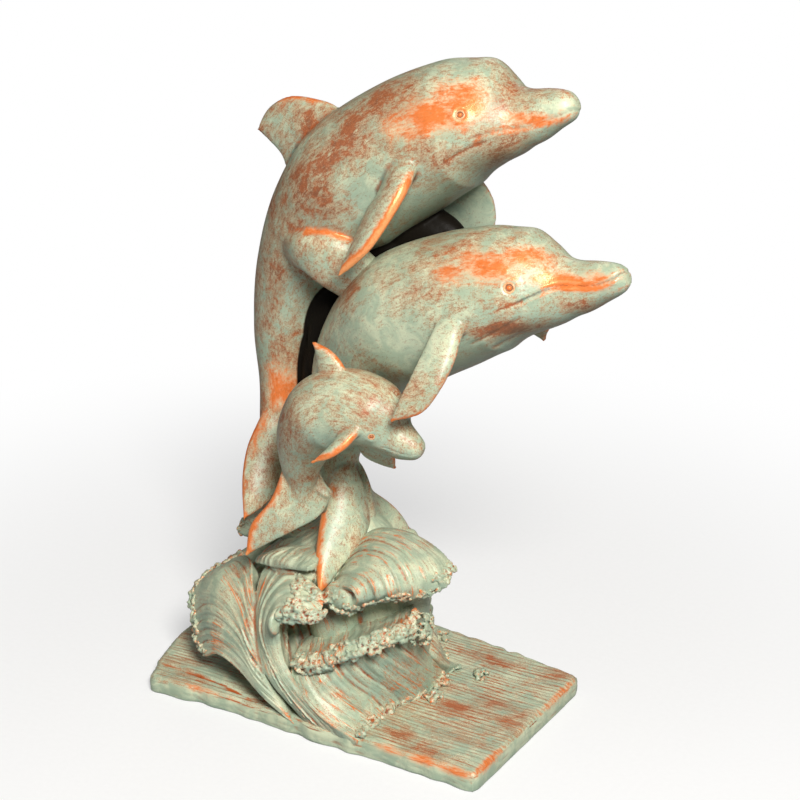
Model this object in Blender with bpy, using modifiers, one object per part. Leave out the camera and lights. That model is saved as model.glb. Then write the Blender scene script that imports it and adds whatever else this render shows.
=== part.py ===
"""A cast figurine: two adult dolphins and a calf rising out of a breaking wave on a flat plate.

Metres, +Z up. The origin is the centre of the plate's underside, +X runs along the plate,
the way the dolphins head, and -Y is the side that faces the viewer.
Every form is modelled on its own and then cast: joined, remeshed and thinned into one solid.
"""

import math

import bmesh
import bpy
import numpy as np
from mathutils import Vector

# The plate: a plank of calm water.
PLATE_THICKNESS = 0.012
PLATE_CORNER_RADIUS = 0.005
PLATE_EDGE_BEVEL = 0.002

# The dolphins. A girth is the largest body radius, a head runs from the snout to the neck.
UPPER_GIRTH = 0.0406
UPPER_HEAD = 0.075
UPPER_TAIL_SLIM = 0.90
LOWER_GIRTH = 0.0395
LOWER_HEAD = 0.081
CALF_GIRTH = 0.0234
CALF_HEAD = 0.036
CALF_BEAK_SWELL = 1.22
UPPER_LEAN = math.radians(18)
LOWER_LEAN = math.radians(12)
CALF_LEAN = math.radians(8)

# The casting.
VOXEL = 0.0015
SOFTENING_PASSES = 2
MOST_TRIANGLES = 11900

# How a body swells along its length: place, back, belly, side and keel.
# Place runs from 0 at the snout to 1 at the neck and 2 at the tail root.
# Back, belly and side are shares of the girth. Keel sharpens the section, from 1 for an ellipse.
BODY_SHAPE = [
    (0.00, 0.10, 0.10, 0.10, 1.0),
    (0.05, 0.20, 0.19, 0.19, 1.0),
    (0.18, 0.28, 0.285, 0.27, 1.0),
    (0.34, 0.355, 0.375, 0.34, 1.0),
    (0.42, 0.43, 0.40, 0.38, 1.0),
    (0.54, 0.69, 0.47, 0.51, 1.0),
    (0.67, 0.89, 0.53, 0.64, 1.0),
    (0.80, 0.93, 0.60, 0.76, 1.0),
    (1.00, 0.99, 0.78, 0.88, 1.0),
    (1.13, 1.00, 0.93, 0.95, 1.0),
    (1.28, 1.00, 1.00, 0.96, 1.0),
    (1.43, 0.92, 0.84, 0.82, 1.0),
    (1.59, 0.80, 0.66, 0.62, 1.05),
    (1.74, 0.59, 0.50, 0.44, 1.1),
    (1.87, 0.41, 0.37, 0.33, 1.1),
    (1.95, 0.34, 0.32, 0.34, 1.0),
    (2.00, 0.28, 0.28, 0.34, 1.0),
]


def smooth_curve(points, count):
    """Evenly spread points on a Catmull-Rom curve through the given ones."""
    points = np.array(points, float)
    knots = np.concatenate([[0], np.cumsum(np.sqrt(np.linalg.norm(np.diff(points, axis=0), axis=1)))])
    slopes = np.gradient(points, knots, axis=0)
    fine = np.linspace(0, knots[-1], 40 * len(points))
    line = hermite(fine, knots, points, slopes)
    along = np.concatenate([[0], np.cumsum(np.linalg.norm(np.diff(line, axis=0), axis=1))])
    wanted = np.linspace(0, along[-1], count)
    return np.stack([np.interp(wanted, along, line[:, i]) for i in range(line.shape[1])], axis=1)


def hermite(at, knots, values, slopes):
    """A cubic through values at knots with the given slopes, read at the places in at."""
    cell = np.clip(np.searchsorted(knots, at, side="right") - 1, 0, len(knots) - 2)
    width = knots[cell + 1] - knots[cell]
    t = (at - knots[cell]) / width
    t, width = t[:, None], width[:, None]
    return (
        values[cell] * (2 * t**3 - 3 * t**2 + 1)
        + slopes[cell] * width * (t**3 - 2 * t**2 + t)
        + values[cell + 1] * (3 * t**2 - 2 * t**3)
        + slopes[cell + 1] * width * (t**3 - t**2)
    )


def table_at(table, places):
    """The columns of a table read smoothly at the given places, without overshoot."""
    table = np.array(table, float)
    knots, values = table[:, 0], table[:, 1:]
    steps = np.diff(values, axis=0) / np.diff(knots)[:, None]
    slopes = np.zeros_like(values)
    same = steps[1:] * steps[:-1] > 0
    mean = 2 * steps[1:] * steps[:-1] / np.where(same, steps[1:] + steps[:-1], 1)
    slopes[1:-1] = np.where(same, mean, 0)
    slopes[0], slopes[-1] = steps[0], steps[-1]
    return hermite(np.asarray(places, float), knots, values, slopes)


def unit(vectors):
    vectors = np.asarray(vectors, float)
    return vectors / np.linalg.norm(vectors, axis=-1, keepdims=True)


def grid_solid(name, rows):
    """A closed mesh over rows of points that run round the form, capped at both ends."""
    rows = np.array(rows)
    count, around = rows.shape[:2]
    mesh = bmesh.new()
    rings = [[mesh.verts.new(p) for p in row] for row in rows]
    for first, second in zip(rings, rings[1:]):
        for i in range(around):
            j = (i + 1) % around
            mesh.faces.new((first[i], first[j], second[j], second[i]))
    for ring in (rings[0], rings[-1]):
        centre = mesh.verts.new(sum((v.co for v in ring), Vector()) / around)
        for i in range(around):
            mesh.faces.new((ring[i], ring[(i + 1) % around], centre))
    bmesh.ops.recalc_face_normals(mesh, faces=mesh.faces)
    return as_object(name, mesh)


def as_object(name, mesh):
    data = bpy.data.meshes.new(name)
    mesh.to_mesh(data)
    mesh.free()
    made = bpy.data.objects.new(name, data)
    bpy.context.scene.collection.objects.link(made)
    return made


class Body:
    """A dolphin's trunk along a spine that runs from the snout to the tail root."""

    def __init__(self, name, spine, girth, head, lean, swell=1.0, slim=1.0):
        self.name, self.girth, self.swell, self.slim = name, girth, swell, slim
        self.line = smooth_curve(spine, 400)
        steps = np.linalg.norm(np.diff(self.line, axis=0), axis=1)
        self.along = np.concatenate([[0], np.cumsum(steps)])
        self.head = head
        self.forward = unit(-np.gradient(self.line, axis=0))
        aside = np.array([0, -1.0, 0])
        near = unit(aside - (self.forward @ aside)[:, None] * self.forward)
        back = np.cross(self.forward, near)
        back *= np.sign(back[len(back) // 4] @ np.array([-0.4, 0, 1.0]))
        share = np.clip(1.15 - self.along / self.along[-1], 0, 1)[:, None]
        twist = lean * share * share * (3 - 2 * share)
        self.up = back * np.cos(twist) - near * np.sin(twist)
        self.side = near * np.cos(twist) + back * np.sin(twist)

    def distance(self, place):
        """How far along the spine a place lies: 0 snout, 1 neck, 2 tail root."""
        place = np.asarray(place, float)
        rest = self.along[-1] - self.head
        return np.where(place < 1, place * self.head, self.head + (place - 1) * rest)

    def frame(self, place):
        """The spine's point and its forward, up and near-side directions at a place."""
        d = float(self.distance(place))
        read = [
            np.array([np.interp(d, self.along, field[:, i]) for i in range(3)])
            for field in (self.line, self.forward, self.up, self.side)
        ]
        return read[0], unit(read[1]), unit(read[2]), unit(read[3])

    def solid(self, stations=90, around=40):
        head = np.linspace(0, 1, stations // 2, endpoint=False)
        places = np.concatenate([head, np.linspace(1, 2, stations // 2)])
        shape = table_at(BODY_SHAPE, places)
        angles = np.linspace(0, 2 * math.pi, around, endpoint=False)
        rows = []
        for place, (back, belly, side, keel) in zip(places, shape):
            point, _, above, near = self.frame(place)
            swell = 1 + (self.swell - 1) * min(max(2 - 3 * place, 0), 1)
            tail = min(max((place - 1.3) / 0.35, 0), 1)
            swell *= 1 - (1 - self.slim) * tail * tail * (3 - 2 * tail)
            back, belly, side = back * swell, belly * swell, side * swell
            c, s = np.cos(angles), np.sin(angles)
            across = side * c * np.abs(c) ** (keel - 1)
            height = np.where(s > 0, back, belly) * s * np.abs(s) ** (keel - 1)
            rows.append(point + self.girth * (across[:, None] * near + height[:, None] * above))
        return grid_solid(self.name, rows)


def blade(name, leading, trailing, thickness, sections=20, around=16):
    """A fin between its leading and trailing edges, which meet at the tip."""
    front = smooth_curve(leading, sections)
    rear = smooth_curve(trailing, sections)
    outward = np.gradient((front + rear) / 2, axis=0)
    normal = unit(np.cross(outward[:-2], (front - rear)[:-2]))
    normal = np.concatenate([normal, normal[-1:], normal[-1:]])
    angles = np.linspace(0, 2 * math.pi, around, endpoint=False)
    rows = []
    for i, (a, b) in enumerate(zip(front, rear)):
        half = 0.5 * thickness * (1 - i / (sections - 1)) ** 0.6 + 0.0011
        chord = a - b
        if np.linalg.norm(chord) < 0.0025:
            chord = 0.0025 * unit(front[0] - rear[0])
        middle = (a + b) / 2
        row = [
            middle + 0.5 * math.cos(k) * chord + half * math.sin(k) * (1 + 0.35 * math.cos(k)) * normal[i]
            for k in angles
        ]
        rows.append(row)
    return grid_solid(name, rows)


def pad(name, centre, half):
    """An ellipsoid given by its centre and half sizes."""
    mesh = bmesh.new()
    bmesh.ops.create_icosphere(mesh, subdivisions=4, radius=1.0)
    bmesh.ops.scale(mesh, verts=mesh.verts, vec=half)
    bmesh.ops.translate(mesh, verts=mesh.verts, vec=centre)
    return as_object(name, mesh)


def wave_sheet(name, guides, thickness, flutes, depth, steps=44, across=40):
    """A tongue of water: a skin through guide lines that run with the flow, ridged along it.

    Each guide runs from where the water comes from to where it falls. The skin is backed
    by its own thickness, thinned to a rounded edge all round.
    """
    lines = np.array([smooth_curve(guide, steps) for guide in guides])
    skin = np.array([smooth_curve(lines[:, i], across) for i in range(steps)])
    flow, cross = np.gradient(skin, axis=0), np.gradient(skin, axis=1)
    normal = unit(np.cross(flow, cross))
    if np.mean(np.sum(normal * (skin - np.array(HEAP_MIDDLE)), axis=2)) < 0:
        normal = -normal
    u = np.linspace(0, 1, steps)[:, None]
    v = np.linspace(0, 1, across)[None, :]
    ridge = np.abs(np.sin(math.pi * (flutes * v + 0.12 * np.sin(5 * u + 3 * v)))) ** 0.7 - 0.6
    edge = (1 - np.abs(2 * v - 1) ** 6) * (1 - np.clip((u - 0.8) / 0.2, 0, 1) ** 3 * 0.75)
    top = skin + (depth * ridge * np.clip(edge, 0.2, 1))[..., None] * normal
    under = skin - (0.0016 + thickness * np.sqrt(np.clip(edge, 0, 1)))[..., None] * normal
    rows = [np.concatenate([top[i], under[i][::-1]]) for i in range(steps)]
    return grid_solid(name, rows)


def foam(name, line, count, radius, spread, seed):
    """Beads of foam scattered along a line."""
    random = np.random.default_rng(seed)
    places = smooth_curve(line, count)
    mesh = bmesh.new()
    for place in places:
        size = radius * random.uniform(0.7, 1.25)
        centre = place + random.normal(0, spread, 3)
        made = bmesh.ops.create_icosphere(mesh, subdivisions=2, radius=size)
        bmesh.ops.translate(mesh, verts=made["verts"], vec=centre)
    return as_object(name, mesh)


MM = 0.001

# Spines from the snout to the tail root, in millimetres.
UPPER_SPINE = [
    (122, 25, 375), (109, 25, 371), (97, 25, 366), (84, 25, 361), (68, 25, 356),
    (48, 25, 349), (20, 25, 335), (-11, 25, 313), (-36, 25, 284), (-54, 24, 248),
    (-64, 22, 210), (-66, 20, 178), (-66, 17, 157), (-66, 14, 140),
]
LOWER_SPINE = [
    (167, 0, 293), (152, 0, 288), (136, 0, 282), (118, 0, 276), (92, 0, 269), (60, 1, 258), (30, 3, 242),
    (5, 6, 214), (-11, 6, 180), (-19, 4, 152), (-17, 2, 118),
]
CALF_SPINE = [
    (67, -45, 186), (58, -45, 189), (48, -45, 193), (40, -45, 197), (31, -45, 201), (20, -45, 202),
    (6, -45, 197), (-5, -44, 184), (-13, -42, 166), (-16, -40, 148), (-17, -38, 132),
]

# Fins and flukes: leading edge, trailing edge and thickness, in millimetres. Both edges end at the tip.
FINS = {
    "upper_dorsal": (
        [(-22, 25, 339), (-29, 25, 352), (-42, 25, 355), (-61, 25, 354), (-75, 25, 345), (-83, 25, 331)],
        [(-50, 25, 302), (-62, 25, 308), (-67, 25, 318), (-75, 25, 325), (-83, 25, 331)], 10),
    "lower_dorsal": (
        [(14, 2, 272), (2, -5, 285), (-14, -10, 290), (-26, -11, 289), (-41, -5, 284), (-56, 8, 272)],
        [(0, 0, 244), (-13, -10, 255), (-19, -14, 260), (-29, -13, 265), (-40, -7, 265), (-56, 8, 272)], 15),
    "calf_dorsal": (
        [(20, -45, 218), (16, -45, 228), (8, -45, 235), (-3, -45, 238)],
        [(6, -45, 213), (0, -45, 221), (-1, -45, 228), (-3, -45, 238)], 6),
    "upper_near_flipper": (
        [(40, 0, 345), (43, -14, 337), (43, -25, 327), (37, -35, 310), (29, -40, 296), (11, -40, 278)],
        [(18, 6, 335), (20, -4, 331), (21, -11, 321), (17, -19, 311), (14, -29, 296), (11, -40, 278)], 11),
    "lower_near_flipper": (
        [(87, -20, 264), (87, -36, 257), (87, -46, 244), (84, -56, 231), (76, -62, 218), (59, -66, 211)],
        [(72, -20, 270), (71, -36, 262), (68, -46, 248), (64, -56, 232), (61, -63, 221), (59, -66, 211)], 9),
    "calf_near_flipper": (
        [(40, -58, 203), (38, -68, 199), (35, -74, 194), (28, -79, 188), (16, -80, 182)],
        [(26, -58, 198), (25, -67, 194), (23, -73, 190), (20, -78, 186), (16, -80, 182)], 5),
    "upper_far_flipper": (
        [(44, 36, 334), (46, 48, 320), (52, 55, 310), (55, 60, 298), (53, 64, 283), (42, 66, 266)],
        [(-6, 34, 302), (0, 46, 288), (14, 55, 278), (27, 61, 272), (36, 65, 268), (42, 66, 266)], 9),
    "lower_far_flipper": (
        [(98, 14, 264), (103, 24, 252), (106, 31, 243), (101, 35, 232)],
        [(78, 14, 258), (84, 26, 244), (93, 33, 236), (101, 35, 232)], 7),
    "calf_far_flipper": (
        [(32, -36, 184), (35, -31, 177), (39, -27, 170), (38, -25, 162)],
        [(16, -36, 180), (21, -31, 168), (31, -27, 163), (38, -25, 162)], 5),
    "upper_near_fluke": (
        [(-70, 16, 178), (-72, 6, 162), (-76, -5, 143), (-73, -16, 127), (-66, -26, 105)],
        [(-50, 16, 130), (-51, 2, 124), (-53, -10, 118), (-58, -19, 111), (-66, -26, 105)], 12),
    "upper_far_fluke": (
        [(-70, 20, 178), (-71, 32, 160), (-72, 43, 143), (-68, 52, 124), (-60, 60, 104)],
        [(-50, 20, 130), (-50, 34, 122), (-50, 45, 114), (-54, 54, 108), (-60, 60, 104)], 12),
    "lower_near_fluke": (
        [(-14, 0, 150), (-14, -12, 137), (-14, -20, 124), (-11, -30, 112), (-7, -40, 99), (1, -50, 82)],
        [(6, 0, 108), (10, -12, 106), (10, -22, 101), (7, -32, 95), (4, -43, 87), (1, -50, 82)], 14),
    "lower_far_fluke": (
        [(-12, 4, 148), (-12, 10, 134), (-7, 16, 124), (4, 23, 114), (10, 30, 102), (13, 34, 90)],
        [(6, 0, 104), (9, 6, 98), (11, 14, 92), (13, 22, 88), (14, 30, 87), (13, 34, 90)], 14),
    "calf_near_fluke": (
        [(-26, -38, 168), (-27, -44, 152), (-31, -50, 136), (-41, -56, 120), (-42, -60, 102)],
        [(0, -30, 140), (-5, -38, 127), (-16, -46, 119), (-30, -54, 110), (-42, -60, 102)], 9),
    "calf_far_fluke": (
        [(-24, -38, 166), (-26, -30, 150), (-30, -22, 136), (-36, -14, 122), (-36, -8, 106)],
        [(0, -36, 140), (-6, -28, 127), (-14, -20, 118), (-26, -12, 110), (-36, -8, 106)], 9),
}

# Pads deep in the nooks where the adults touch: centre and half sizes.
JOIN_PADS = [[(13, 30, 284), (36, 14, 17)], [(-33, 18, 208), (13, 9, 50)]]

# Tongues of water, each a list of guide lines that run with the flow, in millimetres.
LEFT_LOBE = [
    [(-2, -74, 7), (-24, -74, 19), (-43, -70, 30), (-60, -66, 34), (-74, -60, 26)],
    [(-10, -73, 15), (-27, -73, 27), (-44, -68, 42), (-68, -60, 44), (-88, -50, 28)],
    [(-21, -71, 28), (-33, -70, 39), (-47, -64, 55), (-70, -54, 61), (-95, -42, 41)],
    [(-31, -68, 43), (-38, -66, 52), (-51, -58, 66), (-73, -46, 73), (-101, -34, 52)],
    [(-37, -61, 57), (-43, -58, 65), (-53, -48, 75), (-69, -34, 78), (-98, -22, 59)],
    [(-41, -53, 69), (-46, -48, 75), (-53, -38, 82), (-65, -24, 80), (-85, -8, 68)],
]
MIDDLE_LOBE = [
    [(6, -72, 8), (-26, -70, 36), (-43, -50, 71), (-44, -36, 84), (-33, -34, 86), (-18, -40, 83)],
    [(13, -73, 8), (-19, -72, 34), (-37, -58, 65), (-30, -52, 83), (-9, -54, 90), (10, -58, 86)],
    [(22, -74, 8), (-10, -73, 32), (-30, -66, 57), (-26, -64, 75), (-7, -66, 86), (11, -66, 79)],
    [(30, -74, 8), (-2, -73, 30), (-21, -69, 52), (-20, -70, 67), (-10, -72, 77), (1, -70, 74)],
    [(37, -74, 8), (3, -72, 30), (-12, -68, 47), (-14, -68, 60), (-12, -70, 70), (-9, -68, 71)],
]
UPPER_LOBE = [
    [(-30, -20, 94), (-45, -24, 90), (-54, -30, 86), (-54, -34, 83)],
    [(-18, -26, 100), (-28, -34, 98), (-36, -42, 94), (-37, -44, 89)],
    [(-11, -30, 101), (-13, -42, 101), (-18, -48, 97), (-20, -48, 93)],
    [(-6, -34, 102), (-3, -46, 101), (-5, -52, 100), (-5, -52, 97)],
]
CREST = [
    [(-30, -10, 90), (-58, -10, 98), (-76, -9, 95), (-83, -8, 85)],
    [(-30, 8, 94), (-58, 10, 104), (-77, 11, 100), (-83, 12, 88)],
    [(-30, 26, 90), (-54, 30, 99), (-68, 32, 95), (-74, 32, 84)],
]
RIGHT_LOBE = [
    [(-3, -6, 95), (15, -6, 111), (38, -8, 115), (60, -12, 111), (72, -16, 105)],
    [(-1, -16, 93), (19, -22, 112), (44, -28, 116), (66, -30, 109), (73, -28, 99)],
    [(0, -26, 88), (21, -34, 109), (46, -44, 113), (60, -44, 102), (62, -38, 91)],
    [(0, -36, 83), (20, -46, 103), (40, -54, 105), (49, -54, 98), (44, -48, 89)],
    [(1, -44, 81), (17, -54, 94), (29, -60, 98), (33, -60, 92), (25, -54, 82)],
]
LOWER_CURL = [
    [(-15, -46, 47), (-10, -58, 46), (-6, -68, 45), (-4, -70, 41)],
    [(-6, -40, 52), (1, -54, 51), (9, -66, 51), (13, -68, 45)],
    [(9, -34, 58), (18, -48, 59), (27, -62, 61), (32, -64, 58)],
    [(24, -28, 63), (32, -42, 66), (41, -56, 69), (47, -56, 62)],
    [(38, -18, 70), (46, -32, 72), (55, -44, 74), (58, -42, 67)],
    [(40, -8, 71), (48, -20, 73), (57, -34, 76), (56, -30, 64)],
]
APRON = [
    [(-12, -62, 42), (-4, -71, 33), (14, -76, 21), (43, -76, 11)],
    [(5, -58, 50), (11, -66, 40), (24, -66, 26), (42, -54, 11)],
    [(20, -50, 56), (25, -56, 48), (33, -47, 29), (43, -30, 11)],
    [(34, -42, 62), (39, -46, 54), (44, -34, 32), (50, -12, 11)],
    [(44, -30, 66), (49, -32, 56), (51, -14, 33), (50, 14, 11)],
    [(44, -12, 66), (48, -6, 56), (44, 12, 34), (36, 42, 11)],
]

# How the tongues of the far side are made from those of the near side:
# mirrored or not, turned in degrees, scaled and lowered in millimetres.
FAR_SIDE = {
    "left_lobe": (True, 6, 0.76, 2),
    "middle_lobe": (True, 6, 0.78, 0),
    "upper_lobe": (True, 10, 0.85, 4),
    "right_lobe": (False, 105, 0.58, 20),
    "lower_curl": (False, 103, 0.54, 0),
    "apron": (False, 92, 0.70, 0),
}

# The heap of water inside the lobes: height, centre along, centre across, half length, half width.
HEAP = [
    (5, -20, -8, 58, 50), (28, -22, -7, 54, 47), (48, -30, -4, 42, 40), (68, -31, 0, 40, 36),
    (88, -18, 3, 33, 29), (100, -8, 4, 25, 23), (110, -6, 4, 16, 14), (114, -6, 4, 8, 7),
]

HEAP_MIDDLE = (-0.018, 0.0, 0.030)
HEAP_RIDGES = 26
HEAP_RIDGE = 0.07

# The plate's outline, counter-clockwise from the front left corner, in millimetres.
PLATE_OUTLINE = [
    (-108, -75), (-51, -72), (13, -76), (71, -76), (121, -78),
    (122, 56), (70, 65), (5, 72), (-60, 58), (-116, 34), (-123, -10), (-116, -48),
]


def mm(rows):
    return [tuple(MM * v for v in row) for row in rows]


def far_side(points, mirror, turn, scale, drop):
    """Points of the near side carried to the far side of the wave."""
    points = np.array(points, float)
    c, s = math.cos(math.radians(turn)), math.sin(math.radians(turn))
    x, y = points[:, 0], points[:, 1] * (-scale if mirror else scale)
    if not mirror:
        x = x * scale
    return np.stack([c * x - s * y, s * x + c * y, points[:, 2] - MM * drop], axis=1)


def tongue(name, guides, thickness, flutes, depth, foam_size, foam_count):
    """A tongue of water and its foam, on the near side and again on the far side."""
    parts = []
    for tag in ("near", "far") if name in FAR_SIDE else ("near",):
        lines = [np.array(mm(guide)) for guide in guides]
        if tag == "far":
            lines = [far_side(line, *FAR_SIDE[name]) for line in lines]
        parts.append(wave_sheet(f"{tag}_{name}", lines, thickness, flutes, depth))
        if foam_count:
            lips = [line[-1] + 0.0035 * unit(line[-2] - line[-1]) for line in lines]
            beads = foam(f"{tag}_{name}_foam", lips, foam_count, foam_size, 0.35 * foam_size, len(name))
            parts.append(beads)
    return parts


def wave():
    angles = np.linspace(0, 2 * math.pi, 180, endpoint=False)
    rows = []
    heap = smooth_curve(np.array(HEAP) * MM, 40)
    for z, x, y, rx, ry in heap:
        ridge = 1 + HEAP_RIDGE * (np.abs(np.sin(HEAP_RIDGES / 2 * angles + 40 * z)) ** 0.7 - 0.5)
        ring = [x + rx * ridge * np.cos(angles), y + ry * ridge * np.sin(angles), np.full(len(angles), z)]
        rows.append(np.stack(ring, axis=1))
    parts = [grid_solid("heap", rows)]
    parts += tongue("left_lobe", LEFT_LOBE, 0.016, 7, 0.0020, 0.0034, 24)
    parts += tongue("middle_lobe", MIDDLE_LOBE, 0.014, 6, 0.0020, 0.0042, 20)
    parts += tongue("upper_lobe", UPPER_LOBE, 0.014, 4, 0.0016, 0, 0)
    parts += tongue("crest", CREST, 0.016, 5, 0.0018, 0.0036, 16)
    parts += tongue("right_lobe", RIGHT_LOBE, 0.013, 7, 0.0022, 0.0034, 24)
    parts += tongue("lower_curl", LOWER_CURL, 0.010, 7, 0.0012, 0.0036, 26)
    parts += tongue("apron", APRON, 0.020, 11, 0.0018, 0.0030, 26)
    return parts


def plate():
    """The plank of calm water, with softly waved edges and rounded rims."""
    corners = mm(PLATE_OUTLINE)
    mesh = bmesh.new()
    low = [mesh.verts.new((x, y, 0.0)) for x, y in corners]
    face = mesh.faces.new(low)
    made = bmesh.ops.extrude_face_region(mesh, geom=[face])
    raised = [v for v in made["geom"] if isinstance(v, bmesh.types.BMVert)]
    bmesh.ops.translate(mesh, verts=raised, vec=(0, 0, PLATE_THICKNESS))
    bmesh.ops.recalc_face_normals(mesh, faces=mesh.faces)
    upright = [e for e in mesh.edges if abs(e.verts[0].co.z - e.verts[1].co.z) > 0.5 * PLATE_THICKNESS]
    bmesh.ops.bevel(mesh, geom=upright, offset=PLATE_CORNER_RADIUS, segments=5, affect="EDGES", profile=0.5)
    rims = [e for e in mesh.edges if len(e.link_faces) == 2 and e.calc_face_angle() > 1.2]
    bmesh.ops.bevel(mesh, geom=rims, offset=PLATE_EDGE_BEVEL, segments=3, affect="EDGES", profile=0.5)
    return as_object("plate", mesh)


def dolphins():
    upper = Body("upper_dolphin", mm(UPPER_SPINE), UPPER_GIRTH, UPPER_HEAD, UPPER_LEAN, slim=UPPER_TAIL_SLIM)
    lower = Body("lower_dolphin", mm(LOWER_SPINE), LOWER_GIRTH, LOWER_HEAD, LOWER_LEAN)
    calf = Body("calf", mm(CALF_SPINE), CALF_GIRTH, CALF_HEAD, CALF_LEAN, CALF_BEAK_SWELL)
    parts = [upper.solid(), lower.solid(), calf.solid()]
    for name, (leading, trailing, thickness) in FINS.items():
        parts.append(blade(name, mm(leading), mm(trailing), MM * thickness))
    parts += [pad("adults_join", *mm(rows)) for rows in JOIN_PADS]
    return parts


def join(parts, name):
    """All the forms as one object, with a fresh start for its transform."""
    mesh = bmesh.new()
    for part in parts:
        mesh.from_mesh(part.data)
        bpy.data.objects.remove(part)
    return as_object(name, mesh)


def apply(made, kind, **settings):
    modifier = made.modifiers.new(kind.title(), kind)
    for key, value in settings.items():
        setattr(modifier, key, value)
    graph = bpy.context.evaluated_depsgraph_get()
    data = bpy.data.meshes.new_from_object(made.evaluated_get(graph))
    made.modifiers.clear()
    made.data = data


def keep_outer_shell(made):
    """Drops every loose shell except the largest."""
    mesh = bmesh.new()
    mesh.from_mesh(made.data)
    seen, shells = set(), []
    for start in mesh.verts:
        if start in seen:
            continue
        shell, queue = [], [start]
        seen.add(start)
        while queue:
            vert = queue.pop()
            shell.append(vert)
            for edge in vert.link_edges:
                other = edge.other_vert(vert)
                if other not in seen:
                    seen.add(other)
                    queue.append(other)
        shells.append(shell)
    shells.sort(key=len)
    for shell in shells[:-1]:
        bmesh.ops.delete(mesh, geom=shell, context="VERTS")
    mesh.to_mesh(made.data)
    mesh.free()
    return [len(shell) for shell in shells]


def flatten_underside(made, within):
    mesh = bmesh.new()
    mesh.from_mesh(made.data)
    for vert in mesh.verts:
        if vert.co.z < within:
            vert.co.z = 0.0
    mesh.to_mesh(made.data)
    mesh.free()


def patina():
    material = bpy.data.materials.new("aged copper patina")
    material.use_nodes = True
    shader = material.node_tree.nodes["Principled BSDF"]
    shader.inputs["Base Color"].default_value = (0.38, 0.46, 0.35, 1.0)
    shader.inputs["Roughness"].default_value = 0.42
    shader.inputs["Metallic"].default_value = 0.0
    return material


def main():
    for old in list(bpy.data.objects):
        bpy.data.objects.remove(old)
    figurine = join([plate()] + wave() + dolphins(), "dolphin_figurine")
    apply(figurine, "REMESH", mode="VOXEL", voxel_size=VOXEL, adaptivity=0.0)
    keep_outer_shell(figurine)
    apply(figurine, "SMOOTH", factor=0.5, iterations=SOFTENING_PASSES)
    flatten_underside(figurine, 0.6 * VOXEL)
    triangles = sum(len(face.vertices) - 2 for face in figurine.data.polygons)
    share = MOST_TRIANGLES / triangles
    apply(figurine, "DECIMATE", decimate_type="COLLAPSE", ratio=share, use_collapse_triangulate=True)
    flatten_underside(figurine, 0.3 * VOXEL)
    figurine.data.materials.clear()
    figurine.data.materials.append(patina())
    group = bpy.data.collections.new("dolphin figurine")
    bpy.context.scene.collection.children.link(group)
    bpy.context.scene.collection.objects.unlink(figurine)
    group.objects.link(figurine)


main()
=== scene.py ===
"""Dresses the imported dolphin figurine: fine forms, patina, floor, light and camera.

Metres, +Z up, in the row frame: the origin is the centre of the base's underside, the dolphins
head for +X, and -Y is the side that faces the viewer.
"""

import math

import bmesh
import bpy
import numpy as np
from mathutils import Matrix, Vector, noise
from mathutils.bvhtree import BVHTree
from mathutils.kdtree import KDTree


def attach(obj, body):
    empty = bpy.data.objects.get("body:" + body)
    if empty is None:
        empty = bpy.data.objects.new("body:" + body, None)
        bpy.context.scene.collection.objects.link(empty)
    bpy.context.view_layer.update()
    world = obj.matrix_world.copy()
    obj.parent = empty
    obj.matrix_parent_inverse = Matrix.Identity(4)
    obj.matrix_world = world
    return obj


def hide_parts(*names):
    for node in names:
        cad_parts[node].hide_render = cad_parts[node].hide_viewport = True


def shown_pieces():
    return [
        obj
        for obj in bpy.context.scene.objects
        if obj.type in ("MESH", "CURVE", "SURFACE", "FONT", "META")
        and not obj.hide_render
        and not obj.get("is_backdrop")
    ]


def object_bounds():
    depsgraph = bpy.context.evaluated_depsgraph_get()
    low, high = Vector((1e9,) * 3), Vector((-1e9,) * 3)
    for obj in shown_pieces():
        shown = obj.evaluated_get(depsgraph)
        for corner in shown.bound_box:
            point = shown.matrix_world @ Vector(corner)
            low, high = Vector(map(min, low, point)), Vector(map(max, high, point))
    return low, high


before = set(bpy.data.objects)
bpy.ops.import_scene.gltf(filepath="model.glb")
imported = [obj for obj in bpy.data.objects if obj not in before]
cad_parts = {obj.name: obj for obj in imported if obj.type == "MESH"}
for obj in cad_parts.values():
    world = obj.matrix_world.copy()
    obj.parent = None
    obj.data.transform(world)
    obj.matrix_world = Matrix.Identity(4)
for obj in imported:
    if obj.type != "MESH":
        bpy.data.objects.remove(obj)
cad_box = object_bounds()

PLATE_THICKNESS = 0.012

# The dolphins. A girth is the largest body radius, a head runs from the snout to the neck.
UPPER_GIRTH = 0.0406
UPPER_HEAD = 0.075
UPPER_TAIL_SLIM = 0.90
LOWER_GIRTH = 0.0395
LOWER_HEAD = 0.081
CALF_GIRTH = 0.0234
CALF_HEAD = 0.036
CALF_BEAK_SWELL = 1.22
UPPER_LEAN = math.radians(18)
LOWER_LEAN = math.radians(12)
CALF_LEAN = math.radians(8)

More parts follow.
